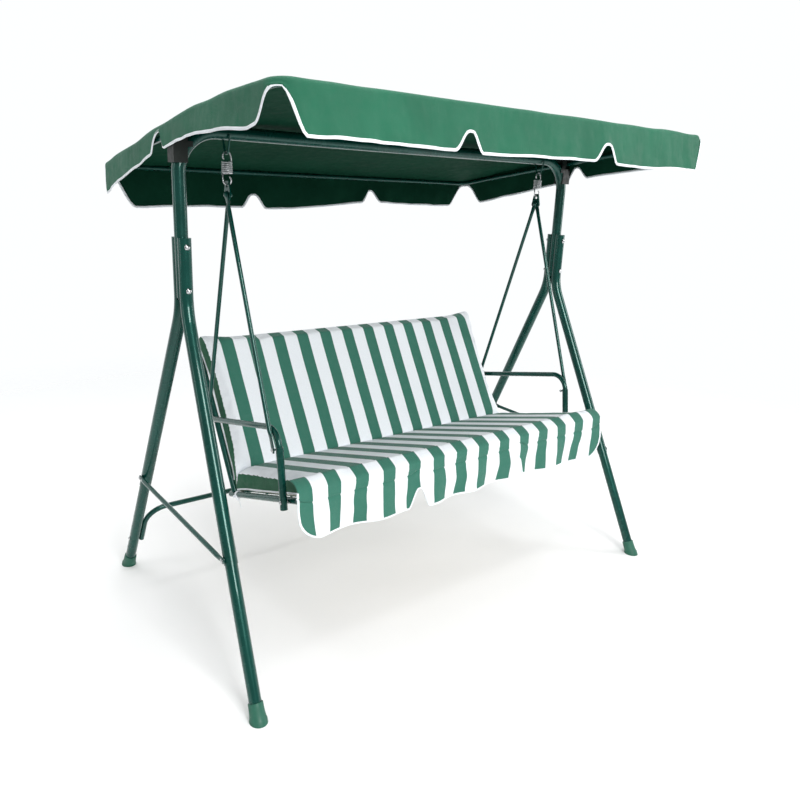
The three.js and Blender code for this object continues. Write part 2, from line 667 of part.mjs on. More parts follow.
const backUp = { y: Math.sin(BACK_LEAN), z: Math.cos(BACK_LEAN) };
const backOut = { y: Math.cos(BACK_LEAN), z: -Math.sin(BACK_LEAN) };
const seatSurface = (y) => seatPoint(0, y).z + (RAIL_RADIUS + 1) / Math.cos(SEAT_SLOPE);
const seatRestFront = SEAT_TOP_FRONT.y + 6;
const seatRestRear = CREASE.y + 21;
const seatOutline = [
  [CREASE.y - 1, CREASE.z - 1],
  [SEAT_TOP_FRONT.y + FRONT_CHAMFER, SEAT_TOP_FRONT.z - 4],
  [SEAT_TOP_FRONT.y - 2, SEAT_TOP_FRONT.z - FRONT_CHAMFER - 2],
  [SEAT_TOP_FRONT.y - 4, seatSurface(SEAT_TOP_FRONT.y) + 8],
  [seatRestFront, seatSurface(seatRestFront)],
  [seatRestRear, seatSurface(seatRestRear)],
];
const cushion = CUSHION_HALF_WIDTH;
add("seat_cushion", prism(seatOutline, -cushion, cushion), STRIPED_CLOTH);

const onBack = (up, out) => [
  CREASE.y + backUp.y * up + backOut.y * out,
  CREASE.z + backUp.z * up + backOut.z * out,
];
const thick = BACK_CUSHION_THICKNESS;
const backOutline = [
  [CREASE.y + 2, CREASE.z],
  onBack(BACK_CUSHION_HEIGHT - FRONT_CHAMFER, 0),
  onBack(BACK_CUSHION_HEIGHT, FRONT_CHAMFER),
  onBack(BACK_CUSHION_HEIGHT, thick - REAR_CHAMFER),
  onBack(BACK_CUSHION_HEIGHT - REAR_CHAMFER, thick),
  onBack(BACK_CUSHION_FOOT, thick),
  [CREASE.y + BACK_CUSHION_TIP.y, CREASE.z + BACK_CUSHION_TIP.z],
];
add("back_cushion", prism(backOutline.reverse(), -cushion, cushion), STRIPED_CLOTH);

// The flap hangs from the front edge of the seat cushion in three scallops.
const flapFront = SEAT_TOP_FRONT.y - FLAP_AHEAD;
const flapTop = SEAT_TOP_FRONT.z - FLAP_BELOW;
const flapOutline = [
  [flapFront, flapTop],
  [flapFront, FLAP_BOTTOM_Z],
  [flapFront + FLAP_THICKNESS, FLAP_BOTTOM_Z],
  [flapFront + FLAP_THICKNESS, flapTop],
];
add("seat_flap", prism(flapOutline, -FLAP_HALF_WIDTH, FLAP_HALF_WIDTH), STRIPED_CLOTH);

// ---- Canopy, drawn level around its pivot -------------------------------------------------

const armEndX = CANOPY_ARM_X - CANOPY_ARM_INSET;
for (const { side, sx } of SIDES) {
  const armCorners = [
    vec(sx * armEndX, CANOPY_FRONT, 0),
    vec(sx * CANOPY_ARM_X, CANOPY_FRONT, 0),
    vec(sx * CANOPY_ARM_X, CANOPY_REAR, 0),
    vec(sx * armEndX, CANOPY_REAR, 0),
  ];
  const pinHole = drill(vec(sx * CANOPY_ARM_X, 0, 0), ACROSS, CANOPY_PIN_RADIUS + FIT);
  const arm = cut(tube(armCorners, CANOPY_BEND_RADIUS, CANOPY_TUBE_RADIUS, 10), pinHole);
  add(`canopy_arm_${side}`, arm, GREEN_PAINT, canopy);
}
for (const [end, y] of [
  ["front", CANOPY_FRONT],
  ["rear", CANOPY_REAR],
]) {
  const reach = armEndX - FIT;
  const bar = rod(vec(-reach, y, 0), vec(reach, y, 0), CANOPY_TUBE_RADIUS);
  add(`canopy_bar_${end}`, bar, GREEN_PAINT, canopy);
}

// Profile of the cover, inset by its cloth thickness for the hollow under it, which goes on
// below the cover.
function coverOutline(inset, below) {
  const front = CANOPY_FRONT - COVER_OVERHANG + inset;
  const rear = CANOPY_REAR + COVER_OVERHANG - inset;
  const edge = COVER_EDGE - inset;
  return [
    [front, -FRONT_VALANCE_DROP - below],
    [rear, -REAR_VALANCE_DROP - below],
    [rear, edge],
    [0, COVER_RIDGE - inset],
    [front, edge],
  ];
}

const NOTCH_REACH = 30; // a notch's tool goes on this far below, in front of and behind the cloth

// A notch in the valance: a narrow arch, open below.
function notch({ width, height }) {
  const shape = new THREE.Shape();
  shape.moveTo(-width / 2, -NOTCH_REACH);
  shape.lineTo(width / 2, -NOTCH_REACH);
  shape.lineTo(width / 4, height * 0.6);
  shape.absarc(0, height - width / 5, width / 5, 0, Math.PI, false);
  shape.lineTo(-width / 4, height * 0.6);
  const options = { depth: 2 * NOTCH_REACH, bevelEnabled: false, curveSegments: 6 };
  return new THREE.ExtrudeGeometry(shape, options)
    .rotateX(Math.PI / 2)
    .translate(0, NOTCH_REACH, -FRONT_VALANCE_DROP);
}

const cover = COVER_HALF_WIDTH;
const notches = [];
for (const y of [CANOPY_FRONT, CANOPY_REAR]) {
  for (const x of [-cover / 3, cover / 3]) {
    notches.push(notch(FRONT_NOTCH).translate(x, y, 0));
  }
}
for (const { sx } of SIDES) {
  const sideX = sx * cover;
  const trimBottom = -REAR_VALANCE_DROP - NOTCH_REACH;
  const trimFront = vec(sideX - 8, CANOPY_FRONT + SIDE_TRIM_INSET, trimBottom);
  const trimRear = vec(sideX + 8, CANOPY_REAR - SIDE_TRIM_INSET, -SIDE_VALANCE_DROP);
  notches.push(box(trimFront, trimRear));
  notches.push(notch(SIDE_NOTCH).rotateZ(Math.PI / 2).translate(sideX, SIDE_NOTCH_Y, 0));
  for (const y of [CANOPY_FRONT, CANOPY_REAR]) {
    const corner = notch(CORNER_SLIT).rotateZ((sx * Math.sign(y) * -Math.PI) / 4);
    notches.push(corner.translate(sideX, y, 0));
  }
}
const cloth = COVER_THICKNESS;
const coverShell = cut(
  prism(coverOutline(0, 0), -cover, cover),
  prism(coverOutline(cloth, 10), cloth - cover, cover - cloth),
  ...notches,
);
add("canopy_cover", coverShell, CANOPY_CLOTH, canopy);

// ---- Bolts through the arm rests ----------------------------------------------------------

const seatBolts = [
  ["hanger_bolt_front", ARM_X + HANGER_FRONT_OUT + FLAT / 2 + 1, HANGER_FRONT, FRONT_BOLT_SHANK],
  ["hanger_bolt_rear", ARM_X + HANGER_REAR_OUT + FLAT / 2 + 1, HANGER_REAR, REAR_BOLT_SHANK],
  ["seat_bolt", ARM_X + UPRIGHT_RADIUS + FIT, SEAT_BOLT, SEAT_BOLT_SHANK],
];
for (const { side, sx } of SIDES) {
  for (const [name, x, { y, z }, shank] of seatBolts) {
    const through = bolt(vec(sx * x, y, z), vec(-sx, 0, 0), shank, HANGER_BOLT_RADIUS);
    add(`${name}_${side}`, through, ZINC);
  }
}

export default group;
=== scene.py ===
"""Looks of a garden swing bench with a canopy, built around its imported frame.

Metres, +Z up. The bench faces -Y, "left" is -X, and the ground is at z = 0.
"""

import json
import math

import bmesh
import bpy
from mathutils import Matrix, Vector, noise
from mathutils.bvhtree import BVHTree


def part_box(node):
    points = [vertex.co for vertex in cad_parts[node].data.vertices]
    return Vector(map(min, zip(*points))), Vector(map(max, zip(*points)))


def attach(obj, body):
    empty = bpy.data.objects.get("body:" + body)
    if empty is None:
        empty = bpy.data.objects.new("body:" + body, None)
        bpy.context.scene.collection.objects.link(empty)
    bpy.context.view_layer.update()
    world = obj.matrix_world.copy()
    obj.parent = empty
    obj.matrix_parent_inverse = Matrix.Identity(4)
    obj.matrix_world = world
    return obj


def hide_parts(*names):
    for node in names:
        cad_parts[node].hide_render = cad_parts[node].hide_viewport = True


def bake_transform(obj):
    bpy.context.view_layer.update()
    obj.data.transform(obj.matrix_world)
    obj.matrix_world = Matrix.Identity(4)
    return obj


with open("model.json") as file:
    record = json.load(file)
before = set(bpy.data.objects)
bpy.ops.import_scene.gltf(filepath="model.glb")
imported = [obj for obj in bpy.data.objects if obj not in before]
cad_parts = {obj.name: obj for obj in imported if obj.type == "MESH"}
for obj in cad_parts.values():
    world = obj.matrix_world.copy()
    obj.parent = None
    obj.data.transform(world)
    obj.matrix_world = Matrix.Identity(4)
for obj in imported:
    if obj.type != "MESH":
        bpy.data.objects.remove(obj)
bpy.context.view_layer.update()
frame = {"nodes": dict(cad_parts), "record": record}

# ---- Driving dimensions ----

ACROSS = Vector((1, 0, 0))
FORWARD = Vector((0, -1, 0))
UP = Vector((0, 0, 1))
LEFT_RIGHT = (("left", -1), ("right", 1))
FRONT_REAR = (("front", -1), ("rear", 1))

LEG_BEND_Z = 1.010  # height where the legs spread
LEG_BEND_RADIUS = 0.200
LEG_OFFSET_Y = 0.020  # the legs of a pair stand this far from the beam's end
LEG_JOINT_Z = 0.374
GROOVE_CLEARANCE = 0.0009  # round the beam's end, in the groove that it takes in the legs
GROOVE_BELOW_BEAM = 0.006
GROOVE_ABOVE_LEG = 0.010
BEAM_BEND_RADIUS = 0.110
CROSS_BAR_Z = 0.252
CROSS_BAR_END_Z = 0.118
CROSS_BAR_BEND_RADIUS = 0.070
CROSS_BAR_INSET = 0.027  # from the axes of the legs
CROSS_BAR_RADIUS = 0.009
BRACE_RADIUS = 0.007
HANGER_RADIUS = 0.0065
ARM_CORNER = (-0.245, 0.705)  # y and z of the arm rest's bend
ARM_BEND_RADIUS = 0.055
ARM_REST_RADIUS = 0.009
ARM_REST_PAST_BOLT = 0.010
UPRIGHT_RADIUS = 0.011
RAIL_RADIUS = 0.010
CANOPY_RADIUS = 0.008
CANOPY_BEND_RADIUS = 0.045

FLAT_THICKNESS = 0.004  # of a tube end that is pressed flat
FLAT_EASE = 0.022  # length over which a pressed end becomes round again
FLAT_WIDENING = 0.42  # how much wider than the tube a pressed end is, as a share of its radius
TIP_LENGTH = 1.4  # of a pressed end's rounded tip, in radii of the tube
TIP_LEAST = 0.12  # square of the tip's narrowest width, as a share of its full width
BRACE_FLAT = 0.022
HANGER_FLATS = {"front": (0.044, 0.032), "rear": (0.036, 0.032)}  # lengths at the lower and upper ends
ARM_REST_FLAT = 0.022
ARM_REST_WIDENING = 0.2

BOLT_CAP = 1.2  # height of a bolt's head, and of its nut, in radii of the shank
# (radius, height) in radii of the shank and in cap heights: the domed head, and the nut.
BOLT_HEAD = ((0, -1), (0.7, -0.95), (1.3, -0.72), (1.8, -0.35), (2, 0))
BOLT_NUT = ((1.5, 0), (1.65, 0.15), (1.65, 0.8), (1.4, 1), (0, 1))
SCREW_RADIUS = 0.003
SCREW_SHANK = 0.004
BRACE_SCREW_INSET = 0.012  # from the brace's end
BRACE_SCREW_OUT = 0.003
CROSS_BAR_SCREW_RISE = 0.015  # above the bar's end
CROSS_BAR_SCREW_OUT = 0.018

# (radius, height above the ground along the leg): a foot cap's outside, then its inside.
FOOT_CAP_PROFILE = (
    (0, -0.014), (0.0235, -0.014), (0.0245, -0.012), (0.0245, 0.006), (0.0238, 0.008), (0.0226, 0.011),
    (0.0216, 0.018), (0.0210, 0.026), (0.0206, 0.036), (0.0204, 0.046), (0.0199, 0.0495), (0.0176, 0.0502),
    (0.0176, 0.012), (0, 0.012),
)

COIL_RADIUS = 0.0135
COIL_TURNS = 6.5
COIL_PITCH = 0.0052
COIL_ABOVE_LOOP = 0.0169  # from the lower hook's centre to the first coil
WIRE_RADIUS = 0.0021
LOOP_RADIUS = 0.012
LOWER_HOOK_DEGREES = range(55, -175, -10)
UPPER_HOOK_DEGREES = range(0, 240, 10)

STRIPE_PITCH = 0.0966  # one white and one green stripe
WHITE_STRIPE = 0.0510
STRIPE_BLUR = 0.006  # of a stripe's edge, as a share of the pitch
SWAY_GROWTH = 0.08  # height over which the flap's stripes begin to sway

CLOTH_THICKNESS = 0.0016
COVER_RISE = 0.034  # crown of the canopy above the straight line between its front and rear edges
COVER_SIDE_RISE = 0.022  # the same along its left and right edges
COVER_PEAK = 0.38  # where the crown is highest, as a share of the way from front to rear
COVER_FALL = 1.6  # how steeply the crown falls off behind its peak
COVER_SLACK = 0.0012  # depth of the folds in the middle of the top
COVER_END_SLACK = 0.0040  # how much deeper they get towards the sides
COVER_ROLL = 0.012  # the cloth rolls over the bars at this radius
COVER_PAST_BARS = 0.010
COVER_INSET = 0.002  # from the CAD cover's sides, which leaves room for the binding
CORNER_ROUND = 0.050
EDGE_TOP = 0.010  # the cloth's edge above the bars' axes
OUTLINE_SIDES = ("front", "right", "rear", "left")
AROUND = 720  # points round the canopy
TOP_RINGS = 26
ROLL_RINGS = 5
VALANCE_RINGS = 16

FRONT_DROP = 0.120  # depth of the valance below the canopy's edge
REAR_DROP = 0.104
REAR_DROP_EXTRA = 0.030  # the rear valance hangs this much deeper towards its left end
REAR_EXTRA_FROM = 0.35  # x where that begins
REAR_EXTRA_OVER = 0.6
# The side valances hang unevenly: where each notch is, the depth there, how much deeper it gets
# SIDE_REACH away from it, how wide the notch's front and rear flanks are, and how far the slit at
# the rear corner reaches.
SIDE_REACH = 0.5
SIDE_VALANCE = {
    "left": {"notch_y": 0.060, "drop": 0.066, "deepening": 0.030,
             "flanks": (0.014, 0.085), "rear_slit": 0.026},
    "right": {"notch_y": -0.045, "drop": 0.096, "deepening": 0.006,
              "flanks": (0.050, 0.050), "rear_slit": 0.090},
}
FRONT_NOTCH = {"height": 0.050, "flanks": (0.066, 0.038)}
REAR_NOTCH = {"height": 0.046, "flanks": (0.050, 0.050)}
SIDE_NOTCH_HEIGHT = 0.046
# Reach of the corner slits from the corner, along the valance that they end.
SLIT_REACH = {"front": 0.056, "rear": 0.090, "side_front": 0.086}
SLIT_TAIL = 0.165  # the side valances' front ends rise slowly over this length
SLIT_TAIL_SHARE = 0.2  # of the slit's height
SLIT_CLOTH_LEFT = 0.020  # depth of the cloth that is left above a corner slit
HEM_SWAY = 0.003
VALANCE_FLARE = 0.004  # how far the lower edge leans out
BROAD_RIPPLE = 0.009
FINE_RIPPLE = 0.0085
SIDE_FLARE_SHARE = 0.6  # of the flare and the ripples, along the side valances

BINDING_WIDTH = 0.0078
BINDING_THICKNESS = 0.0032
BINDING_BELOW_EDGE = 0.002
TAPE_SIDES = 8
PIPING_RADIUS = 0.0028
PIPING_STEP = 0.008
PIPING_LIFT = 0.3  # of the piping's radius, above the seam
PIPING_SMOOTHING = 3

CUSHION_VOXEL = 0.007
CUSHION_SHRINK = 0.007
CUSHION_CAP = 0.020  # furthest that a point of a cushion may swell
CUSHION_FRAMES = 20
CLOTH_SETTINGS = {"use_pressure": True, "uniform_pressure_force": 4.0, "tension_stiffness": 20,
                  "compression_stiffness": 20, "bending_stiffness": 1.0, "quality": 5}
BACK_FULLER = 0.016  # how far the back cushion's top edge stands beyond the CAD outline
BOXING_FACING = 0.72  # least share of a face's normal along X, on the cushion's ends
LINING_FACING = 0.8  # least share towards the resting side
SEAT_REST = Vector((0, -0.3, -0.95))  # direction in which the seat cushion rests on its frame
BACK_REST = Vector((0, 0.86, -0.5))
SEAM_DEPTH = 0.03  # the piping's ends lie this near the resting side

TIE_FROM_REAR = 0.050  # where the tie goes round the side bar
TIE_RISE = 0.045  # height of its start above the bar
TIE_GAP = 0.0016  # between the bar and the tape
TIE_TURNS = 2
TIE_LEAD = 0.005  # forward movement with each turn
TIE_HALF_SIZES = (0.0032, 0.0007)
KNOT_PROFILE = ((0, -0.005), (0.0035, -0.004), (0.0052, 0), (0.0035, 0.004), (0, 0.005))

FLAP_COLUMNS = 390
FLAP_ROWS = 34
FLAP_OVER = 10  # steps over the cushion's edge, before the flap hangs free
FLAP_START_DEGREES = 118  # direction of the first point, from straight ahead and upwards
FLAP_GAP = 0.0022  # between the cushion and the middle of the flap
FLAP_THICKNESS = 0.003
FLAP_END_ROUND = 0.075
FLAP_NOTCH_HALF = 0.038
FLAP_NOTCH_HEIGHT = 0.062
EDGE_CENTRE = (0.042, -0.004)  # of the cushion's edge, behind the flap's front and above its top
FLAP_SWAY_BELOW = 0.570  # height where its stripes begin to sway
STITCH_SHARE = 0.27  # how far down the seam is
STITCH_SPREAD = 0.025
STITCH_DEPTH = 0.0040

FLOOR_SOLID = 1.4  # radius inside which the floor is solid
FLOOR_END = 3.8

TUBE_SIDES = 28
THICK_SIDES = 36
HARD_EDGE = 40  # degrees between faces from which an edge is sharp
CLOTH_EDGE = 70
CUSHION_EDGE = 80
SEED_OFFSET = Vector((3.1, 7.7, 1.9))  # keeps the noise fields away from their zero at the origin


# ---- Materials ----

def srgb(red, green, blue):
    """A colour given in 0-255 display values, as the linear values that shaders use."""
    linear = [((c / 255 + 0.055) / 1.055) ** 2.4 if c > 10 else c / 255 / 12.92 for c in (red, green, blue)]
    return (*linear, 1.0)


GREEN_CLOTH = srgb(44, 110, 92)
BOXING_GREEN = srgb(10, 84, 54)
WHITE_CLOTH = srgb(238, 242, 246)
LINING_BEIGE = srgb(196, 186, 164)
CANOPY_GREEN = srgb(28, 99, 73)
# The canopy's inner face is the same cloth in a darker green: painted shade under the canopy.
PAINTED_SHADE_CANOPY_GREEN = srgb(16, 58, 42)
PAINT_GREEN = srgb(5, 70, 61)
SCUFF_GREEN = srgb(70, 122, 112)
CAP_GREEN = srgb(36, 94, 76)
BRACKET_BLACK = srgb(14, 24, 20)
ZINC_GREY = srgb(206, 208, 210)
FLOOR_WHITE = srgb(248, 248, 248)

NOISE_LOW = 0.3  # a noise field mostly stays between these two values
NOISE_HIGH = 0.7


class Shader:
    """A material being built from nodes around its Principled shader."""

    def __init__(self, name, **sockets):
        self.material = bpy.data.materials.new(name)
        self.material.use_nodes = True
        self.tree = self.material.node_tree
        self.surface = self.tree.nodes["Principled BSDF"]
        for socket, value in sockets.items():
            self.surface.inputs[socket.replace("_", " ")].default_value = value
        self.place = self.add("ShaderNodeTexCoord").outputs["Object"]

    def add(self, kind, settings=None, **sockets):
        node = self.tree.nodes.new(kind)
        for key, value in (settings or {}).items():
            setattr(node, key, value)
        for socket, value in sockets.items():
            self.feed(node.inputs[socket.replace("_", " ")], value)
        return node

    def feed(self, socket, value):
        if isinstance(value, bpy.types.NodeSocket):
            self.tree.links.new(value, socket)
        elif socket.type == "VECTOR":
            socket.default_value = value[:3]
        else:
            socket.default_value = value

    def math(self, operation, first, second=0.0):
        node = self.add("ShaderNodeMath", {"operation": operation})
        self.feed(node.inputs[0], first)
        self.feed(node.inputs[1], second)
        return node.outputs[0]

    def mix(self, factor, first, second):
        node = self.add("ShaderNodeMix", {"data_type": "RGBA"})
        self.feed(node.inputs["Factor"], factor)
        self.feed(node.inputs[6], first)
        self.feed(node.inputs[7], second)
        return node.outputs[2]

    def noise(self, scale, detail=3.0, stretch=(1, 1, 1)):
        stretched = self.add("ShaderNodeMapping", Vector=self.place, Scale=stretch)
        field = self.add("ShaderNodeTexNoise", Vector=stretched.outputs[0], Scale=scale, Detail=detail)
        return field.outputs["Fac"]

    def ramp(self, value, low, high, to_low=0.0, to_high=1.0):
        span = {"From_Min": low, "From_Max": high, "To_Min": to_low, "To_Max": to_high}
        return self.add("ShaderNodeMapRange", Value=value, **span).outputs[0]

    def spread(self, field, lowest, highest):
        """A noise field stretched over the range between two values."""
        return self.ramp(field, NOISE_LOW, NOISE_HIGH, lowest, highest)

    def shade(self, colour, field, darkest, lightest):
        """The colour made darker and lighter by a noise field."""
        level = self.spread(field, darkest, lightest)
        node = self.add("ShaderNodeVectorMath", {"operation": "SCALE"})
        self.feed(node.inputs[0], colour)
        self.feed(node.inputs["Scale"], level)
        return node.outputs[0]

    def bump(self, height, distance, strength, below=None):
        node = self.add("ShaderNodeBump", Height=height, Distance=distance, Strength=strength)
        if below is not None:
            self.feed(node.inputs["Normal"], below)
        return node.outputs[0]

    def weave(self, pitch):
        """Height of a plain weave: threads of that pitch, crossing over and under each other."""
        axes = self.add("ShaderNodeSeparateXYZ", Vector=self.place)
        turn = 2 * math.pi / pitch
        along = self.math("SINE", self.math("MULTIPLY", axes.outputs["X"], turn))
        slanted = self.math("ADD", axes.outputs["Y"], axes.outputs["Z"])
        across = self.math("SINE", self.math("MULTIPLY", slanted, turn))
        return self.math("MULTIPLY", along, across)

    def woven(self, colour, folds, roughness, pitch=0.0012, strength=0.45):
        """Finishes a cloth: a bump of threads on top of its folds."""
        threads = self.bump(self.weave(pitch), distance=0.0002, strength=strength, below=folds)
        return self.finish(colour, roughness, threads)

    def finish(self, colour, roughness=None, normal=None):
        for socket, value in (("Base Color", colour), ("Roughness", roughness), ("Normal", normal)):
            if value is not None:
                self.feed(self.surface.inputs[socket], value)
        return self.material


def green_paint():
    s = Shader("green_powder_coat", Metallic=0.35, Coat_Weight=0.5, Coat_Roughness=0.05, IOR=1.3)
    colour = s.shade(PAINT_GREEN, s.noise(scale=9.0), darkest=0.86, lightest=1.14)
    scuffs = s.ramp(s.noise(scale=70.0, detail=6.0), low=0.66, high=0.74)
    colour = s.mix(s.math("MULTIPLY", scuffs, 0.15), colour, SCUFF_GREEN)
    roughness = s.spread(s.noise(scale=26.0), 0.20, 0.32)
    grain = s.bump(s.noise(scale=420.0, detail=2.0), distance=0.0002, strength=0.15)
    return s.finish(colour, roughness, grain)


def moulded_plastic(name, base):
    s = Shader(name, IOR=1.46)
    colour = s.shade(base, s.noise(scale=35.0), darkest=0.88, lightest=1.12)
    grain = s.bump(s.noise(scale=900.0, detail=2.0), distance=0.0002, strength=0.5)
    return s.finish(colour, s.spread(s.noise(scale=60.0), 0.42, 0.60), grain)


def bright_zinc():
    s = Shader("zinc_plate", Metallic=1.0)
    colour = s.shade(ZINC_GREY, s.noise(scale=140.0), darkest=0.80, lightest=1.05)
    roughness = s.spread(s.noise(scale=300.0), 0.20, 0.38)
    return s.finish(colour, roughness, s.bump(s.noise(scale=1200.0), distance=0.0001, strength=0.4))


def canopy_cloth(name, base, sheen, ior):
    s = Shader(name, Sheen_Weight=sheen, Sheen_Roughness=0.5, IOR=ior)
    colour = s.shade(base, s.noise(scale=5.0, detail=5.0), darkest=0.88, lightest=1.12)
    colour = s.shade(colour, s.noise(scale=900.0, detail=1.0), darkest=0.93, lightest=1.07)
    creases = s.bump(s.noise(scale=7.0, stretch=(1, 1, 0.5)), distance=0.030, strength=0.6)
    return s.woven(colour, creases, s.spread(s.noise(scale=40.0), 0.62, 0.78), pitch=0.0011, strength=0.5)


def striped_cloth(name, sway, below_z=None):
    """Stripes across X. They sway sideways by up to half that distance, below a height if it is given."""
    s = Shader(name, Sheen_Weight=0.08, Sheen_Roughness=0.5)
    axes = s.add("ShaderNodeSeparateXYZ", Vector=s.place)
    shift = s.math("MULTIPLY", s.math("SUBTRACT", s.noise(scale=6.5, detail=1.0), 0.5), sway)
    if below_z is not None:
        shift = s.math("MULTIPLY", shift, s.ramp(axes.outputs["Z"], below_z, below_z - SWAY_GROWTH))
    x = s.math("ADD", axes.outputs["X"], shift)
    turns = s.math("ADD", s.math("DIVIDE", x, STRIPE_PITCH), 0.5)
    positive = s.math("ADD", turns, 50.0)
    from_middle = s.math("ABSOLUTE", s.math("SUBTRACT", s.math("FRACT", positive), 0.5))
    edge = WHITE_STRIPE / STRIPE_PITCH / 2
    green_share = s.ramp(from_middle, edge - STRIPE_BLUR, edge + STRIPE_BLUR)
    colour = s.mix(green_share, WHITE_CLOTH, GREEN_CLOTH)
    colour = s.shade(colour, s.noise(scale=700.0, detail=1.0), darkest=0.95, lightest=1.05)
    puckers = s.bump(s.noise(scale=11.0), distance=0.005, strength=0.25)
    return s.woven(colour, puckers, s.spread(s.noise(scale=50.0), 0.70, 0.85))


def plain_cloth(name, base):
    s = Shader(name, Sheen_Weight=0.05, Sheen_Roughness=0.5)
    colour = s.shade(base, s.noise(scale=16.0, detail=4.0), darkest=0.88, lightest=1.12)
    gathers = s.bump(s.noise(scale=24.0, stretch=(1, 1, 0.3)), distance=0.005, strength=0.4)
    return s.woven(colour, gathers, s.spread(s.noise(scale=60.0), 0.72, 0.86))


def studio_floor():
    """A white floor that fades away with the distance from the bench, so that it has no edge."""
    s = Shader("studio_floor", Roughness=0.9)
    distance = s.add("ShaderNodeVectorMath", {"operation": "LENGTH"})
    s.feed(distance.inputs[0], s.place)
    fade = s.ramp(distance.outputs["Value"], FLOOR_SOLID, FLOOR_END, 1.0, 0.0)
    s.feed(s.surface.inputs["Alpha"], fade)
    return s.finish(s.shade(FLOOR_WHITE, s.noise(scale=2.0), darkest=0.99, lightest=1.01))


PAINT = green_paint()
CAP_PLASTIC = moulded_plastic("cap_plastic", CAP_GREEN)
BRACKET_PLASTIC = moulded_plastic("bracket_plastic", BRACKET_BLACK)
ZINC = bright_zinc()
CANOPY = canopy_cloth("canopy_cloth", CANOPY_GREEN, sheen=0.08, ior=1.35)
# The canopy cloth again, with no sheen and a darker green painted in as shade for its underside.
PAINTED_SHADE_CANOPY = canopy_cloth("canopy_inside", PAINTED_SHADE_CANOPY_GREEN, sheen=0.0, ior=1.1)
STRIPED = striped_cloth("striped_cloth", sway=0.004)
FLAP_CLOTH = striped_cloth("flap_cloth", sway=0.050, below_z=FLAP_SWAY_BELOW)
BOXING = plain_cloth("boxing_cloth", BOXING_GREEN)
LINING = plain_cloth("lining_cloth", LINING_BEIGE)
WHITE_TAPE = plain_cloth("white_tape", WHITE_CLOTH)


# ---- Geometry tools ----

def new_mesh(name, points, faces, *materials):
    mesh = bpy.data.meshes.new(name)
    mesh.from_pydata([tuple(p) for p in points], [], faces)
    for material in materials:
        mesh.materials.append(material)
    return mesh


def new_object(name, data):
    obj = bpy.data.objects.new(name, data)
    bpy.context.scene.collection.objects.link(obj)
    return obj


def piece(name, points, faces, material, body, slot, stands_for=(), sharp_degrees=HARD_EDGE):
    """A new mesh object that rides on a body and may stand for CAD nodes."""
    mesh = new_mesh(name, points, faces, material)
    turned_out = bmesh.new()
    turned_out.from_mesh(mesh)
    bmesh.ops.recalc_face_normals(turned_out, faces=turned_out.faces)
    turned_out.to_mesh(mesh)
    turned_out.free()
    return dress(new_object(name, mesh), body, slot, stands_for, sharp_degrees)


def dress(obj, body, slot, stands_for, sharp_degrees):
    obj.data.shade_smooth()
    obj.data.set_sharp_from_angle(angle=math.radians(sharp_degrees))
    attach(obj, body)
    if stands_for:
        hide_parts(*stands_for)
    return obj


def painted(name, shape, body, node):
    """A painted metal piece in place of a CAD node. The shape is its points and faces."""
    return piece(name, *shape, PAINT, body, "green_paint", [node])


def taped(name, shape, body, slot):
    """A piece of white tape or cord, with no CAD node of its own."""
    return piece(name, *shape, WHITE_TAPE, body, slot, (), CLOTH_EDGE)


def rod_axis(node):
    """(lower end, upper end, radius) of a straight CAD tube: the middles of its end rings."""
    points = [v.co.copy() for v in frame["nodes"][node].data.vertices]
    middle = sum(points, Vector()) / len(points)
    first = max(points, key=lambda p: (p - middle).length)
    second = max(points, key=lambda p: (p - first).length)
    ring_depth = 0.0015
    for _ in range(3):
        direction = (second - first).normalized()
        reach = [(p - middle).dot(direction) for p in points]
        low = [p for p, r in zip(points, reach) if r < min(reach) + ring_depth]
        high = [p for p, r in zip(points, reach) if r > max(reach) - ring_depth]
        first = sum(low, Vector()) / len(low)
        second = sum(high, Vector()) / len(high)
    direction = (second - first).normalized()
    radius = max(((p - first) - direction * (p - first).dot(direction)).length for p in points)
    if first.z > second.z:
        first, second = second, first
    return first, second, radius


def bent_line(corners, bend_radius, arc_steps=14):
    """Points along straight stretches joined by arcs of the bend radius."""
    line = [corners[0].copy()]
    for before, corner, after in zip(corners, corners[1:], corners[2:]):
        into = (corner - before).normalized()
        out = (after - corner).normalized()
        angle = into.angle(out)
        axis = into.cross(out).normalized()
        start = corner - into * bend_radius * math.tan(angle / 2)
        centre = start + axis.cross(into) * bend_radius
        for step in range(arc_steps + 1):
            line.append(centre + Matrix.Rotation(angle * step / arc_steps, 3, axis) @ (start - centre))
    line.append(corners[-1].copy())
    return line


def corner_normal(corners):
    """Direction at right angles to a bent tube's first two stretches."""
    return (corners[1] - corners[0]).cross(corners[2] - corners[1])


def band(low, high, count):
    """Faces between two rings of points, given the numbers of their first points."""
    return [(low + k, low + (k + 1) % count, high + (k + 1) % count, high + k) for k in range(count)]


def sweep(line, normal, section, sides=TUBE_SIDES):
    """Points and faces of a closed tube. section(i) gives its half sizes along and across the normal."""
    points = []
    side = normal.normalized()
    for i, centre in enumerate(line):
        tangent = (line[min(i + 1, len(line) - 1)] - line[max(i - 1, 0)]).normalized()
        side = (side - tangent * side.dot(tangent)).normalized()
        across = tangent.cross(side)
        along_normal, across_normal = section(i)
        for k in range(sides):
            angle = 2 * math.pi * k / sides
            spoke = side * along_normal * math.cos(angle) + across * across_normal * math.sin(angle)
            points.append(centre + spoke)
    faces = []
    for ring in range(len(line) - 1):
        faces += band(ring * sides, (ring + 1) * sides, sides)
    faces.append(tuple(reversed(range(sides))))
    faces.append(tuple(range((len(line) - 1) * sides, len(line) * sides)))
    return points, faces


def round_bar(line, normal, radius, sides=TUBE_SIDES):
    return sweep(line, normal, lambda i: (radius, radius), sides)


def smoothstep(t):
    t = min(max(t, 0.0), 1.0)
    return t * t * (3 - 2 * t)


def flatness(distance, flat_length):
    """1 over the flat length of a pressed tube end, falling to 0 where the tube is round again."""
    return 1 - smoothstep((distance - flat_length) / FLAT_EASE)


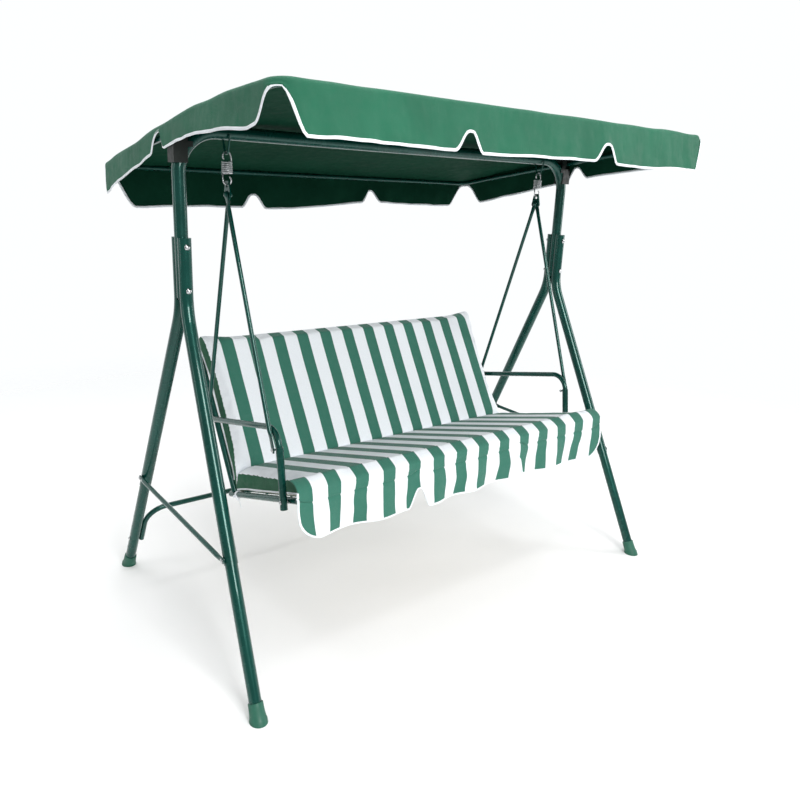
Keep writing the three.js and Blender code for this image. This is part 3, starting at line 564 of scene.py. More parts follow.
def pressed_tube(name, node, radius, body, low_flat, high_flat):
    """A straight tube whose two ends are pressed flat over the given lengths, with the flats facing X."""
    start, end, _ = rod_axis(node)
    length = (end - start).length
    direction = (end - start).normalized()
    steps = 90
    distances = [length * i / steps for i in range(steps + 1)]

    def section(i):
        from_start, from_end = distances[i], length - distances[i]
        flat = max(flatness(from_start, low_flat), flatness(from_end, high_flat))
        into_tip = min(min(from_start, from_end) / (TIP_LENGTH * radius), 1)
        tip = math.sqrt(max(1 - (1 - into_tip) ** 2, TIP_LEAST))
        thin = radius + (FLAT_THICKNESS / 2 - radius) * flat
        wide = (radius + FLAT_WIDENING * radius * flat) * tip
        return thin, wide

    return painted(name, sweep([start + direction * d for d in distances], ACROSS, section), body, node)


def lathe(profile, origin, direction, segments=TUBE_SIDES):
    """Points and faces of a solid of revolution. The profile lists (radius, height), from axis to axis."""
    turn = UP.rotation_difference(direction)
    points = [origin + turn @ (UP * profile[0][1])]
    for radius, height in profile[1:-1]:
        for k in range(segments):
            angle = 2 * math.pi * k / segments
            point = Vector((radius * math.cos(angle), radius * math.sin(angle), height))
            points.append(origin + turn @ point)
    points.append(origin + turn @ (UP * profile[-1][1]))
    rings = len(profile) - 2
    faces = [(0, 1 + (k + 1) % segments, 1 + k) for k in range(segments)]
    for ring in range(rings - 1):
        faces += band(1 + ring * segments, 1 + (ring + 1) * segments, segments)
    last = 1 + (rings - 1) * segments
    faces += [(last + k, last + (k + 1) % segments, len(points) - 1) for k in range(segments)]
    return points, faces


def bolt(name, head, direction, shank, radius, body, stands_for=()):
    """A domed bolt head, its shank and a nut with a rounded end."""
    cap = BOLT_CAP * radius
    profile = [(r * radius, h * cap) for r, h in BOLT_HEAD]
    profile += [(radius, 0), (radius, shank)]
    profile += [(r * radius, shank + h * cap) for r, h in BOLT_NUT]
    return piece(name, *lathe(profile, head, direction), ZINC, body, "zinc", stands_for, 30)


def bolt_for(node, inward, body):
    """A bolt in place of a CAD one. Its shank runs from the head in the inward direction."""
    low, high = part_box(node)
    size = high - low
    radius = min(size) / 4
    cap = BOLT_CAP * radius
    length = abs(size.dot(inward))
    head = (low + high) / 2 - inward * (length / 2 - cap)
    return bolt(f"{node}_zinc", head, inward, length - 2 * cap, radius, body, [node])


def apply_modifiers(obj):
    evaluated = obj.evaluated_get(bpy.context.evaluated_depsgraph_get())
    mesh = bpy.data.meshes.new_from_object(evaluated)
    obj.modifiers.clear()
    obj.data = mesh


def thicken(obj, thickness, offset, inside_slot=0):
    """Gives a cloth its thickness. Its inner face may take another of its materials."""
    solid = obj.modifiers.new("thickness", "SOLIDIFY")
    solid.thickness = thickness
    solid.offset = offset
    solid.material_offset = inside_slot
    apply_modifiers(obj)
    obj.data.shade_smooth()


def cut_away(obj, tool_shape):
    tool = new_object("tool", new_mesh("tool", *tool_shape))
    modifier = obj.modifiers.new("cut", "BOOLEAN")
    modifier.operation = "DIFFERENCE"
    modifier.solver = "EXACT"
    modifier.object = tool
    apply_modifiers(obj)
    bpy.data.objects.remove(tool)


# ---- Standing frame ----

beam_low, beam_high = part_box("top_beam")
BEAM_RADIUS = beam_high.y
TOP_X = beam_high.x - BEAM_RADIUS
BEAM_Z = beam_high.z - BEAM_RADIUS


def leg_axis(end, side):
    """Function giving the point of a leg's sloping stretch at a height."""
    low, high, _ = rod_axis(f"lower_leg_{end}_{side}")
    return lambda z: low + (high - low) * (z - low.z) / (high.z - low.z)


def standing_frame():
    places = ((-TOP_X, beam_low.z), (-TOP_X, BEAM_Z), (TOP_X, BEAM_Z), (TOP_X, beam_low.z))
    corners = [Vector((x, 0, z)) for x, z in places]
    beam = round_bar(bent_line(corners, BEAM_BEND_RADIUS), FORWARD, BEAM_RADIUS, THICK_SIDES)
    painted("beam_tube", beam, "frame", "top_beam")
    for side, sx in LEFT_RIGHT:
        for end, sy in FRONT_REAR:
            leg(side, sx, end, sy)
        for level in ("upper", "lower"):
            bolt_for(f"leg_bolt_{level}_{side}", -FORWARD, "frame")
        brace(side, sx)
    cross_bar()


def leg(side, sx, end, sy):
    """An upper leg with a groove for the beam's end, the lower leg in it, and its foot cap."""
    at_height = leg_axis(end, side)
    node = f"upper_leg_{end}_{side}"
    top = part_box(node)[1].z
    corners = [Vector((sx * TOP_X, sy * LEG_OFFSET_Y, top)), at_height(LEG_BEND_Z), at_height(LEG_JOINT_Z)]
    line = bent_line(corners, LEG_BEND_RADIUS)
    shape = round_bar(line, corner_normal(corners), BEAM_RADIUS, THICK_SIDES)
    upper = painted(f"upper_tube_{end}_{side}", shape, "frame", node)
    groove = [Vector((sx * TOP_X, 0, z)) for z in (beam_low.z - GROOVE_BELOW_BEAM, top + GROOVE_ABOVE_LEG)]
    cut_away(upper, round_bar(groove, ACROSS, BEAM_RADIUS + GROOVE_CLEARANCE, 48))
    upper.data.set_sharp_from_angle(angle=math.radians(HARD_EDGE))

    lower_node = f"lower_leg_{end}_{side}"
    low, high, radius = rod_axis(lower_node)
    shape = round_bar([low, high], ACROSS, radius, THICK_SIDES)
    painted(f"lower_tube_{end}_{side}", shape, "frame", lower_node)
    foot_cap(side, end, low, (high - low).normalized())


def foot_cap(side, end, leg_foot, up):
    """A moulded bell with a rim, cut off level with the ground."""
    foot = leg_foot - up * (leg_foot.z / up.z)
    points, faces = lathe(FOOT_CAP_PROFILE, foot, up, THICK_SIDES)
    level = [p + up * (-p.z / up.z) if p.z < 0 else p for p in points]
    node = f"foot_cap_{end}_{side}"
    piece(f"cap_{end}_{side}", level, faces, CAP_PLASTIC, "frame", "green_plastic", [node], 35)


def brace(side, sx):
    """A side brace between the legs, with a screw through each flat end."""
    node = f"side_brace_{side}"
    pressed_tube(f"brace_tube_{side}", node, BRACE_RADIUS, "frame", BRACE_FLAT, BRACE_FLAT)
    first, second, _ = rod_axis(node)
    direction = (second - first).normalized()
    for label, end, inward in (("low", first, direction), ("high", second, -direction)):
        head = end + inward * BRACE_SCREW_INSET + ACROSS * sx * BRACE_SCREW_OUT
        bolt(f"brace_screw_{label}_{side}", head, ACROSS * -sx, SCREW_SHANK, SCREW_RADIUS, "frame")


def cross_bar():
    """The rear bar between the legs: level in the middle, turned down along the legs."""
    corners = []
    for side, sx in LEFT_RIGHT:
        at_height = leg_axis("rear", side)
        levels = (CROSS_BAR_END_Z, CROSS_BAR_Z) if sx < 0 else (CROSS_BAR_Z, CROSS_BAR_END_Z)
        corners += [at_height(z) + ACROSS * -sx * CROSS_BAR_INSET for z in levels]
        head = at_height(CROSS_BAR_END_Z + CROSS_BAR_SCREW_RISE) + ACROSS * sx * CROSS_BAR_SCREW_OUT
        bolt(f"cross_bar_screw_{side}", head, ACROSS * -sx, SCREW_SHANK, SCREW_RADIUS, "frame")
    line = bent_line(corners, CROSS_BAR_BEND_RADIUS)
    shape = round_bar(line, corner_normal(corners), CROSS_BAR_RADIUS)
    painted("cross_bar_tube", shape, "frame", "rear_cross_bar")


# ---- Springs, hangers and the seat's frame ----

def spring(side):
    """An extension spring: an open hook, close coils and another hook."""
    node = f"spring_{side}"
    low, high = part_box(node)
    x = (low.x + high.x) / 2
    lower_loop = low.z + LOOP_RADIUS + WIRE_RADIUS
    upper_loop = high.z - LOOP_RADIUS - WIRE_RADIUS

    def hook(degrees, z):
        angle = math.radians(degrees)
        return Vector((x + LOOP_RADIUS * math.cos(angle), 0, z + LOOP_RADIUS * math.sin(angle)))

    line = [hook(degrees, lower_loop) for degrees in LOWER_HOOK_DEGREES]
    steps = 24
    for i in range(int(COIL_TURNS * steps) + 1):
        angle = math.pi - 2 * math.pi * i / steps
        z = lower_loop + COIL_ABOVE_LOOP + COIL_PITCH * i / steps
        line.append(Vector((x + COIL_RADIUS * math.cos(angle), COIL_RADIUS * math.sin(angle), z)))
    line += [hook(degrees, upper_loop) for degrees in UPPER_HOOK_DEGREES]
    name = f"spring_wire_{side}"
    wire = new_object(name, new_mesh(name, *round_bar(line, -FORWARD, WIRE_RADIUS, 12), ZINC))
    wire.data.shade_smooth()
    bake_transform(wire)
    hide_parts(node)


def hanging_parts():
    for side, sx in LEFT_RIGHT:
        spring(side)
        for end, flats in HANGER_FLATS.items():
            pressed_tube(f"hanger_tube_{end}_{side}", f"hanger_{end}_{side}", HANGER_RADIUS, "seat", *flats)
        for kind in ("hanger_bolt_front", "hanger_bolt_rear", "seat_bolt"):
            bolt_for(f"{kind}_{side}", ACROSS * -sx, "seat")
        arm_rest(side)
        straight(f"seat_side_bar_{side}", "seat")
        straight(f"back_post_{side}", "seat")
        straight(f"arm_upright_{side}", "seat", UPRIGHT_RADIUS)
    for node in ("seat_front_rail", "seat_rear_rail", "back_top_rail"):
        straight(node, "seat")
    for end, _ in FRONT_REAR:
        straight(f"canopy_bar_{end}", "canopy", CANOPY_RADIUS)


def straight(node, body, radius=RAIL_RADIUS):
    start, end, _ = rod_axis(node)
    normal = ACROSS if abs((end - start).normalized().x) < 0.9 else UP
    painted(f"{node}_tube", round_bar([start, end], normal, radius), body, node)


def arm_rest(side):
    """A tube from the rear hanger's bolt, where it is pressed flat, forward and down to the upright."""
    node = f"arm_rest_{side}"
    low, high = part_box(node)
    x = (low.x + high.x) / 2
    bolt_low, bolt_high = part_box(f"hanger_bolt_rear_{side}")
    _, upright_top, _ = rod_axis(f"arm_upright_{side}")
    rear = Vector((x, (bolt_low.y + bolt_high.y) / 2, (bolt_low.z + bolt_high.z) / 2))
    corner = Vector((x, *ARM_CORNER))
    rear += (rear - corner).normalized() * ARM_REST_PAST_BOLT
    bent = bent_line([rear, corner, Vector((x, upright_top.y, upright_top.z))], ARM_BEND_RADIUS, 20)
    steps = 24
    line = [rear + (bent[1] - rear) * i / steps for i in range(steps)] + bent[1:]

    def section(i):
        flat = flatness((line[i] - rear).length, ARM_REST_FLAT)
        thin = ARM_REST_RADIUS + (FLAT_THICKNESS / 2 - ARM_REST_RADIUS) * flat
        return thin, ARM_REST_RADIUS * (1 + ARM_REST_WIDENING * flat)

    painted(f"{node}_tube", sweep(line, ACROSS, section), "seat", node)


# ---- Canopy ----

front_bar = rod_axis("canopy_bar_front")[0]
rear_bar = rod_axis("canopy_bar_rear")[0]
TILT = math.atan2(front_bar.z - rear_bar.z, rear_bar.y - front_bar.y)
CANOPY_TURN = Matrix.Rotation(-TILT, 3, "X")
joints = {joint["name"]: joint for joint in frame["record"]["behaviour"]["joints"]}
PIVOT = Vector(joints["canopy_tilt"]["pos_m"])
HALF_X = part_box("canopy_cover")[1].x - COVER_INSET
COVER_FRONT = (CANOPY_TURN.transposed() @ (front_bar - PIVOT)).y - COVER_PAST_BARS
COVER_REAR = (CANOPY_TURN.transposed() @ (rear_bar - PIVOT)).y + COVER_PAST_BARS


def canopy_frame():
    """The canopy's two side arms, whose ends turn in to meet the bars."""
    for side, sx in LEFT_RIGHT:
        node = f"canopy_arm_{side}"
        low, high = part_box(node)
        inner, outer = (low.x, high.x) if sx > 0 else (high.x, low.x)
        outer -= sx * CANOPY_RADIUS
        places = ((inner, front_bar), (outer, front_bar), (outer, rear_bar), (inner, rear_bar))
        corners = [Vector((x, bar.y, bar.z)) for x, bar in places]
        line = bent_line(corners, CANOPY_BEND_RADIUS)
        shape = round_bar(line, corner_normal(corners), CANOPY_RADIUS)
        painted(f"{node}_tube", shape, "canopy", node)


def arch(distance, half_width, shoulder=0.9):
    """1 in the middle of a notch, falling to 0 at its half width. A low shoulder widens its top."""
    t = abs(distance) / half_width
    return 1 - smoothstep((t - (1 - shoulder)) / shoulder) if t < 1 else 0.0


def notch(distance, flanks):
    """An arch whose two flanks have their own widths."""
    return arch(distance, flanks[0] if distance < 0 else flanks[1])


def end_valance(x, which, corner_distance):
    """Full depth, notch height and slit share of the front or rear valance."""
    if which == "front":
        full, shape = FRONT_DROP, FRONT_NOTCH
    else:
        full = REAR_DROP + REAR_DROP_EXTRA * smoothstep((REAR_EXTRA_FROM - x) / REAR_EXTRA_OVER)
        shape = REAR_NOTCH
    cut = max(notch(x - sx * HALF_X / 3, shape["flanks"]) for _, sx in LEFT_RIGHT) * shape["height"]
    return full, cut, arch(corner_distance, SLIT_REACH[which])


def side_valance(y, which, corner_distance):
    """Full depth, notch height and slit share of a side valance."""
    hang = SIDE_VALANCE[which]
    away = (y - hang["notch_y"]) / SIDE_REACH
    full = hang["drop"] + hang["deepening"] * min(away * away, 1.0)
    cut = notch(y - hang["notch_y"], hang["flanks"]) * SIDE_NOTCH_HEIGHT
    if y < 0:
        slit = (1 - SLIT_TAIL_SHARE) * arch(corner_distance, SLIT_REACH["side_front"])
        slit += SLIT_TAIL_SHARE * arch(corner_distance, SLIT_TAIL, shoulder=1.0)
    else:
        slit = arch(corner_distance, hang["rear_slit"])
    return full, cut, slit


def valance_depth(x, y, which, corner_distance):
    """How far the valance hangs below the edge at a point of the canopy's outline."""
    valance, along = (side_valance, y) if which in SIDE_VALANCE else (end_valance, x)
    full, cut, slit = valance(along, which, corner_distance)
    sway = HEM_SWAY * math.sin(9.0 * x + 4.0 * y)
    return full + sway - max(cut, slit * (full - SLIT_CLOTH_LEFT))


def outline_point(t):
    """Point t (0-1) round the canopy's edge: place, outward direction, side and corner distance."""
    half_y = (COVER_REAR - COVER_FRONT) / 2
    mid_y = (COVER_REAR + COVER_FRONT) / 2
    straight_x, straight_y = 2 * (HALF_X - CORNER_ROUND), 2 * (half_y - CORNER_ROUND)
    quarter = math.pi * CORNER_ROUND / 2
    s = t * (2 * (straight_x + straight_y) + 4 * quarter)
    corners = [(1, -1, -90), (1, 1, 0), (-1, 1, 90), (-1, -1, 180)]
    for number, (cx, cy, start_degrees) in enumerate(corners):
        length = straight_x if number % 2 == 0 else straight_y
        which = OUTLINE_SIDES[number]
        centre = Vector((cx * (HALF_X - CORNER_ROUND), mid_y + cy * (half_y - CORNER_ROUND)))
        out = Vector((math.cos(math.radians(start_degrees)), math.sin(math.radians(start_degrees))))
        along = Vector((-out.y, out.x))
        if s <= length:
            place = centre + out * CORNER_ROUND + along * (s - length)
            return place, out, which, min(s, length - s) + quarter / 2
        s -= length
        if s <= quarter:
            angle = math.radians(start_degrees) + s / CORNER_ROUND
            spoke = Vector((math.cos(angle), math.sin(angle)))
            nearer = which if s < quarter / 2 else OUTLINE_SIDES[(number + 1) % 4]
            return centre + spoke * CORNER_ROUND, spoke, nearer, abs(s - quarter / 2)
        s -= quarter
    return outline_point(0.0)


def crown(x, y):
    """Height of the canopy's top above the bars' plane: a soft ridge with folds at the sides."""
    share = min(max((y - COVER_FRONT) / (COVER_REAR - COVER_FRONT), 0.0), 1.0)
    front_power = COVER_PEAK / (1 - COVER_PEAK) * COVER_FALL
    ridge = (share / COVER_PEAK) ** front_power * ((1 - share) / (1 - COVER_PEAK)) ** COVER_FALL
    outward = abs(x) / HALF_X
    rise = COVER_RISE + (COVER_SIDE_RISE - COVER_RISE) * outward ** 3
    slack = COVER_SLACK + COVER_END_SLACK * smoothstep((outward - 0.5) / 0.4)
    folds = noise.noise(Vector((4.0 * (x + y), 11.0 * (x - 0.6 * y), 0.5)) + SEED_OFFSET)
    return EDGE_TOP + rise * ridge + slack * folds


def top_ring(outline, share):
    """A ring of the top, at a share of the way from its middle to the roll."""
    flat = [(place - out * COVER_ROLL) * share for place, out, _, _ in outline]
    return [Vector((p.x, p.y, crown(p.x, p.y))) for p in flat]


def roll_ring(outline, turn):
    """A ring of the cloth's roll over the bars, at an angle from its start."""
    ring = []
    for place, out, _, _ in outline:
        at = place - out * COVER_ROLL * (1 - math.sin(turn))
        rim = place - out * COVER_ROLL
        ring.append(Vector((at.x, at.y, crown(rim.x, rim.y) - COVER_ROLL * (1 - math.cos(turn)))))
    return ring


def valance_ring(outline, rim_ring, share):
    """A ring of the valance, at a share of the way down from the rim."""
    ring = []
    for (place, out, which, corner), top in zip(outline, rim_ring):
        depth = valance_depth(place.x, place.y, which, corner) - COVER_ROLL
        broad = noise.noise(Vector((place.x * 6, place.y * 6, 0.3)) + SEED_OFFSET)
        narrow = noise.noise(Vector((place.x * 19, place.y * 19, share * 1.3)) + SEED_OFFSET)
        ripple = share * (BROAD_RIPPLE * broad + FINE_RIPPLE * narrow)
        flare = (VALANCE_FLARE * share + ripple) * (SIDE_FLARE_SHARE if which in SIDE_VALANCE else 1)
        ring.append(Vector((top.x + out.x * flare, top.y + out.y * flare, top.z - depth * share)))
    return ring


def canopy_cover():
    """The cloth top with its valance, as rings from the middle out and down, and the hem's binding."""
    outline = [outline_point(i / AROUND) for i in range(AROUND)]
    rings = [top_ring(outline, i / TOP_RINGS) for i in range(1, TOP_RINGS + 1)]
    rings += [roll_ring(outline, math.pi / 2 * i / ROLL_RINGS) for i in range(1, ROLL_RINGS + 1)]
    rim_ring = rings[-1]
    rings += [valance_ring(outline, rim_ring, i / VALANCE_RINGS) for i in range(1, VALANCE_RINGS + 1)]
    points = [Vector((0, 0, crown(0, 0)))]
    for ring in rings:
        points += ring
    faces = [(0, 1 + k, 1 + (k + 1) % AROUND) for k in range(AROUND)]
    for number in range(len(rings) - 1):
        faces += band(1 + number * AROUND, 1 + (number + 1) * AROUND, AROUND)
    shape = ([PIVOT + CANOPY_TURN @ p for p in points], faces)
    cover = piece("canopy_cloth", *shape, CANOPY, "canopy", "canopy_fabric", ["canopy_cover"], CLOTH_EDGE)
    # The inner face takes the darker green, which is painted shade under the canopy.
    cover.data.materials.append(PAINTED_SHADE_CANOPY)
    thicken(cover, CLOTH_THICKNESS, offset=-1.0, inside_slot=1)
    hem = canopy_binding(rings[-1], outline)


def canopy_binding(edge_ring, outline):
    """White tape folded over the valance's lower edge, all the way round."""
    points = []
    for k, edge in enumerate(edge_ring):
        out = Vector((outline[k][1].x, outline[k][1].y, 0))
        along = (edge_ring[(k + 1) % AROUND] - edge_ring[k - 1]).normalized()
        up = along.cross(out).normalized()
        if up.z < 0:
            up = -up
        for step in range(TAPE_SIDES):
            angle = 2 * math.pi * step / TAPE_SIDES
            lift = BINDING_WIDTH / 2 * (1 + math.cos(angle)) - BINDING_BELOW_EDGE
            bulge = BINDING_THICKNESS / 2 * math.sin(angle) - CLOTH_THICKNESS / 2
            points.append(edge + up * lift + out * bulge)
    faces = []
    for k in range(AROUND):
        a, b = k * TAPE_SIDES, ((k + 1) % AROUND) * TAPE_SIDES
        faces += band(a, b, TAPE_SIDES)
    world = [PIVOT + CANOPY_TURN @ p for p in points]
    return taped("canopy_binding", (world, faces), "canopy", "canopy_fabric")


# ---- Cushions ----

def rest_plane(node, towards):
    """A point and the outward normal of the CAD cushion's largest face towards a direction."""
    mesh = frame["nodes"][node].data
    facing = [p for p in mesh.polygons if p.normal.dot(towards) > 0.6]
    largest = max(facing, key=lambda p: p.area)
    return largest.center.copy(), largest.normal.copy()


def inflate(obj):
    """Blows the cushion up with a cloth simulation and keeps its result."""
    cloth = obj.modifiers.new("cloth", "CLOTH")
    for setting, value in CLOTH_SETTINGS.items():
        setattr(cloth.settings, setting, value)
    cloth.settings.effector_weights.gravity = 0.0
    cloth.collision_settings.use_collision = False
    scene = bpy.context.scene
    for number in range(1, CUSHION_FRAMES + 1):
        scene.frame_set(number)
        bpy.context.view_layer.update()
    apply_modifiers(obj)
    scene.frame_set(1)


def cushion(node, towards_rest, fuller=0.0):
    """A padded cushion in place of a CAD node: thinned, blown up, and pulled back to its outline.

    Its rounded far edge may stand a little beyond the outline, by the fuller distance."""
    source = frame["nodes"][node].data
    obj = new_object(f"{node}_padded", source.copy())
    plane_point, rest = rest_plane(node, towards_rest)
    depths = [(v.co - plane_point).dot(rest) for v in source.vertices]
    thinning = 2 * CUSHION_SHRINK / (max(depths) - min(depths))
    for vertex, depth in zip(obj.data.vertices, depths):
        vertex.co -= rest * depth * thinning
    remesh = obj.modifiers.new("remesh", "REMESH")
    remesh.mode = "VOXEL"
    remesh.voxel_size = CUSHION_VOXEL
    apply_modifiers(obj)
    paint_cushion(obj, rest)
    before = [v.co.copy() for v in obj.data.vertices]
    inflate(obj)
    for vertex, start in zip(obj.data.vertices, before):
        move = vertex.co - start
        if move.length > CUSHION_CAP:
            move *= CUSHION_CAP / move.length
        place = start + move
        vertex.co = place - rest * max((place - plane_point).dot(rest), 0.0)
    rounding = obj.modifiers.new("rounding", "SMOOTH")
    rounding.iterations = 6
    subdivision = obj.modifiers.new("subdivision", "SUBSURF")
    subdivision.levels = 1
    subdivision.render_levels = 1
    apply_modifiers(obj)
    stretch_back(obj.data.vertices, source.vertices, ACROSS)
    stretch_back(obj.data.vertices, source.vertices, ACROSS.cross(rest).normalized(), fuller)
    dress(obj, "seat", "striped_fabric", [node], CUSHION_EDGE)
    return obj


def stretch_back(vertices, wanted, axis, beyond=0.0):
    """Scales the points along an axis until they reach as far as the wanted points do, and a bit beyond."""
    reach, wanted_reach = ([v.co.dot(axis) for v in group] for group in (vertices, wanted))
    low, high = min(reach), max(reach)
    wanted_low, wanted_high = min(wanted_reach), max(wanted_reach)
    scale = (wanted_high + beyond - wanted_low) / (high - low)
    for vertex in vertices:
        at = vertex.co.dot(axis)
        vertex.co += axis * (wanted_low + (at - low) * scale - at)


def paint_cushion(obj, rest_normal):
    """Stripes on the top and front, plain boxing on the ends, lining where it rests."""
    mesh = obj.data
    mesh.materials.clear()
    for material in (STRIPED, BOXING, LINING):
        mesh.materials.append(material)
    for face in mesh.polygons:
        if abs(face.normal.x) > BOXING_FACING:
            face.material_index = 1
        elif face.normal.dot(rest_normal) > LINING_FACING:
            face.material_index = 2
        else:
            face.material_index = 0


def piping(name, cushion_obj, start, end):
    """A corded seam that lies on a cushion's surface, between two points near it."""
    tree = BVHTree.FromObject(cushion_obj, bpy.context.evaluated_depsgraph_get())
    steps = max(int((end - start).length / PIPING_STEP), 1)
    line = []
    for i in range(steps):
        surface, normal, _, _ = tree.find_nearest(start.lerp(end, i / steps))
        line.append(surface + normal * PIPING_RADIUS * PIPING_LIFT)
    for _ in range(PIPING_SMOOTHING):
        inner = [(a + b * 2 + c) / 4 for a, b, c in zip(line, line[1:], line[2:])]
        line = [line[0], *inner, line[-1]]
    return taped(name, round_bar(line, ACROSS, PIPING_RADIUS, 10), "seat", "striped_fabric")


def cushions():
    """The seat and back cushions with their piping and ties. Returns the seat's."""
    seat = cushion("seat_cushion", SEAT_REST)
    back = cushion("back_cushion", BACK_REST, BACK_FULLER)
    for node, obj, rest in (("seat_cushion", seat, SEAT_REST), ("back_cushion", back, BACK_REST)):
        corners = [v.co.copy() for v in frame["nodes"][node].data.vertices]
        for side, sx in LEFT_RIGHT:
            edge = [c for c in corners if c.x * sx > 0]
            furthest = max(c.dot(rest) for c in edge)
            seam = [c for c in edge if c.dot(rest) > furthest - SEAM_DEPTH]
            front = min(seam, key=lambda c: c.y - c.z)
            rear = max(seam, key=lambda c: c.y - c.z)
            piping(f"{node}_piping_{side}", obj, front, rear)
    for side, sx in LEFT_RIGHT:
        tie(side, sx)
    return seat


def tie(side, sx):
    """A tape from the cushion's rear corner, wrapped round the side bar and knotted."""
    start, end, _ = rod_axis(f"seat_side_bar_{side}")
    rear, front = (start, end) if start.y > end.y else (end, start)
    forward = (front - rear).normalized()
    middle = rear + forward * TIE_FROM_REAR
    upward = ACROSS.cross(forward)
    out = ACROSS * sx
    reach = RAIL_RADIUS + TIE_GAP
    steps = 20
    line = [middle + upward * TIE_RISE - out * 0.004]
    for i in range(TIE_TURNS * steps + 1):
        angle = 2 * math.pi * i / steps
        spoke = out * math.sin(angle) + upward * math.cos(angle)
        line.append(middle + spoke * reach + forward * TIE_LEAD * i / steps)
    last = line[-1]
    line += [last + out * 0.008 + upward * 0.006, last + out * 0.016 - upward * 0.012 + forward * 0.010]
    tape = sweep(line, forward, lambda i: TIE_HALF_SIZES, 8)
    taped(f"tie_{side}", tape, "seat", "striped_fabric")
    knot = lathe(KNOT_PROFILE, middle + out * (reach + 0.002) + upward * 0.004, forward, 14)
    taped(f"tie_knot_{side}", knot, "seat", "striped_fabric")


# ---- Flap ----

def over_the_edge(tree, x, reach, centre):
    """Points over the cushion's front edge, from its top to its front, on the cushion's surface."""
    points = []
    for step in range(FLAP_OVER + 1):
        angle = math.radians(FLAP_START_DEGREES * (1 - step / FLAP_OVER))
        out = Vector((0, -math.cos(angle), math.sin(angle)))
        on_cushion = Vector((min(max(x, -reach), reach), centre.y, centre.z))
        hit, _, _, _ = tree.ray_cast(on_cushion + out * 0.2, -out)
        surface = (hit if hit is not None else on_cushion + out * 0.04) + out * FLAP_GAP
        points.append(Vector((x, surface.y, surface.z)))
    return points


def flap_bottom(x, half, lowest):
    """Height of the flap's lower edge: three scallops with rounded outer corners."""
    notch_x = half / 3
    nearest_gap = min(abs(x - notch_x), abs(x + notch_x))
    into_corner = min((half - abs(x)) / FLAP_END_ROUND, 1)
    round_end = FLAP_END_ROUND * (1 - math.sqrt(max(1 - (1 - into_corner) ** 2, 0)))
    notch_height = arch(nearest_gap, FLAP_NOTCH_HALF) * FLAP_NOTCH_HEIGHT
    return lowest + max(round_end, notch_height) + 0.004 * math.sin(8 * x)


def flap_column(x, start, bottom):
    """Points of the flap at one place, from the cushion's edge down to its hem."""
    points = []
    for step in range(1, FLAP_ROWS + 1):
        share = step / FLAP_ROWS
        wave = 0.008 * math.sin(30.0 * x + 1.1 + 1.4 * math.sin(5.0 * x))
        wave += 0.006 * noise.noise(Vector((x * 9, share * 2, 0)) + SEED_OFFSET)
        stitch = STITCH_DEPTH * math.exp(-(((share - STITCH_SHARE) / STITCH_SPREAD) ** 2))
        y = start.y - share * (wave + 0.004) + stitch
        points.append(Vector((x, y, start.z - (start.z - bottom) * share)))
    return points


def flap(seat_pad):
    """The seat's front flap: three scallops that hang in soft waves from the cushion's edge."""
    low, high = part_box("seat_flap")
    half = high.x
    centre = Vector((0, low.y + EDGE_CENTRE[0], high.z + EDGE_CENTRE[1]))
    tree = BVHTree.FromObject(seat_pad, bpy.context.evaluated_depsgraph_get())
    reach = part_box("seat_cushion")[1].x - 0.03
    grid = []
    for column in range(FLAP_COLUMNS + 1):
        x = -half + 2 * half * column / FLAP_COLUMNS
        over = over_the_edge(tree, x, reach, centre)
        grid.append(over + flap_column(x, over[-1], flap_bottom(x, half, low.z)))
    per = len(grid[0])
    points = [p for line in grid for p in line]
    faces = [(c * per + r, (c + 1) * per + r, (c + 1) * per + r + 1, c * per + r + 1)
             for c in range(FLAP_COLUMNS) for r in range(per - 1)]
    shape = (points, faces)
    cloth = piece("seat_flap_cloth", *shape, FLAP_CLOTH, "seat", "striped_fabric", ["seat_flap"], CLOTH_EDGE)
    thicken(cloth, FLAP_THICKNESS, offset=0.0)
    border = grid[0][FLAP_OVER:] + [line[-1] for line in grid[1:-1]] + grid[-1][:FLAP_OVER - 1:-1]
    tape = sweep(border, FORWARD, lambda i: (0.0026, 0.0036), 10)
    hem = taped("seat_flap_binding", tape, "seat", "striped_fabric")


# ---- Camera, light and floor ----

CAMERA_PLACE = (-1.5688, -1.9577, 1.3663)
YAW, PITCH, ROLL = (math.radians(a) for a in (38.9, 16.3, 2.5))  # right of +Y, down, and tilted
LENS = 32.74  # millimetres, on a sensor 36 mm wide
BEHIND_BENCH = (0.63, 0.78, -0.25)  # direction in which the surroundings are brightest
# name, place, aim, size in two directions, power in watts
SOFT_BOXES = (
    ("key", (-0.9, -4.3, 2.7), (0, 0, 0.9), (1.7, 2.0), 150),
    ("side", (3.4, -1.8, 2.2), (0, 0, 0.8), (0.5, 2.6), 40),
    ("rim", (-3.4, 0.6, 2.0), (-0.5, 0, 0.8), (0.4, 2.6), 12),
    ("top", (0, 0, 5.0), (0, 0, 0), (4.0, 4.0), 170),
)


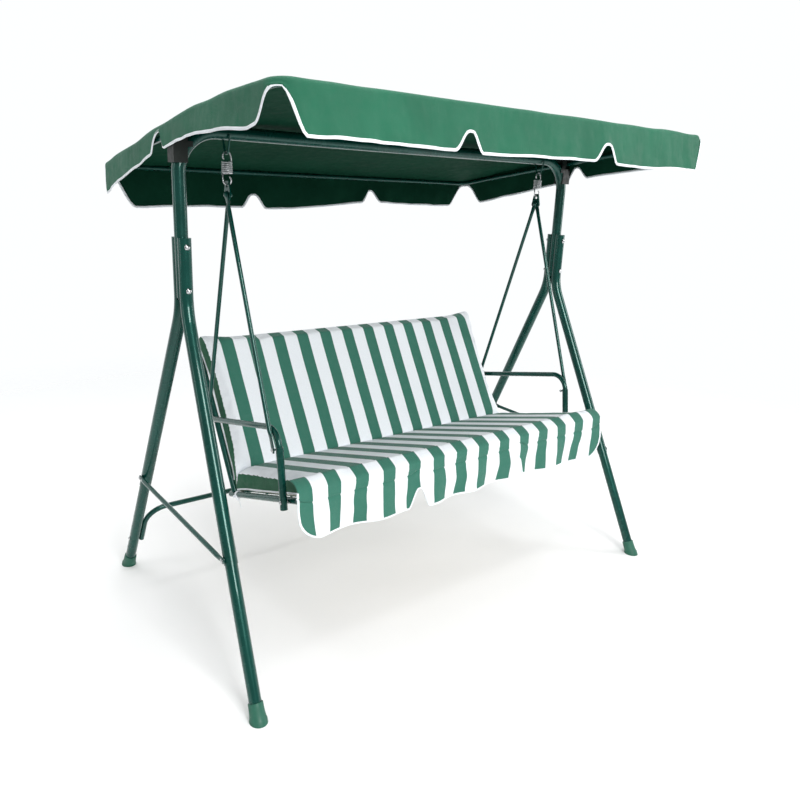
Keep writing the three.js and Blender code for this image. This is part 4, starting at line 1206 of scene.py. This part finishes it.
def camera():
    data = bpy.data.cameras.new("camera")
    data.sensor_width = 36.0
    data.lens = LENS
    obj = new_object("camera", data)
    level = math.cos(PITCH)
    ahead = Vector((math.sin(YAW) * level, math.cos(YAW) * level, -math.sin(PITCH)))
    right = Vector((math.cos(YAW), -math.sin(YAW), 0))
    up = right.cross(ahead)
    rolled_right = right * math.cos(ROLL) + up * math.sin(ROLL)
    rolled_up = up * math.cos(ROLL) - right * math.sin(ROLL)
    turn = Matrix((rolled_right, rolled_up, -ahead)).transposed()
    obj.matrix_world = Matrix.Translation(CAMERA_PLACE) @ turn.to_4x4()
    bpy.context.scene.camera = obj


def area_light(name, place, aim, size, power):
    data = bpy.data.lights.new(name, "AREA")
    data.shape = "RECTANGLE"
    data.size, data.size_y = size
    data.energy = power
    obj = new_object(name, data)
    obj.location = place
    obj.rotation_euler = (Vector(aim) - Vector(place)).to_track_quat("-Z", "Y").to_euler()


def surroundings():
    """White behind the bench and dimmer on the camera's side."""
    world = bpy.data.worlds.new("studio")
    world.use_nodes = True
    tree = world.node_tree
    background = tree.nodes["Background"]
    background.inputs["Color"].default_value = (0.97, 0.99, 1.0, 1.0)
    direction = tree.nodes.new("ShaderNodeTexCoord")
    facing = tree.nodes.new("ShaderNodeVectorMath")
    facing.operation = "DOT_PRODUCT"
    facing.inputs[1].default_value = BEHIND_BENCH
    tree.links.new(direction.outputs["Generated"], facing.inputs[0])
    level = tree.nodes.new("ShaderNodeMapRange")
    for socket, value in (("From Min", -0.35), ("From Max", 0.45), ("To Min", 0.36), ("To Max", 1.02)):
        level.inputs[socket].default_value = value
    tree.links.new(facing.outputs["Value"], level.inputs["Value"])
    tree.links.new(level.outputs[0], background.inputs["Strength"])
    bpy.context.scene.world = world


def floor():
    points = [(x * FLOOR_END, y * FLOOR_END, 0) for x, y in ((-1, -1), (1, -1), (1, 1), (-1, 1))]
    ground = new_object("floor", new_mesh("floor", points, [(0, 1, 2, 3)], studio_floor()))


# ---- The scene ----

standing_frame()
hanging_parts()
canopy_frame()
for kept, finish in (("canopy_bracket", BRACKET_PLASTIC), ("spring_eye", PAINT), ("hanger_link", PAINT)):
    for side, _ in LEFT_RIGHT:
        frame["nodes"][f"{kept}_{side}"].material_slots[0].material = finish
for grid in ("seat_wire_grid", "back_wire_grid"):
    frame["nodes"][grid].material_slots[0].material = PAINT
canopy_cover()
flap(cushions())

camera()
surroundings()
for soft_box in SOFT_BOXES:
    area_light(*soft_box)
floor()
bpy.context.scene.view_settings.view_transform = "Standard"
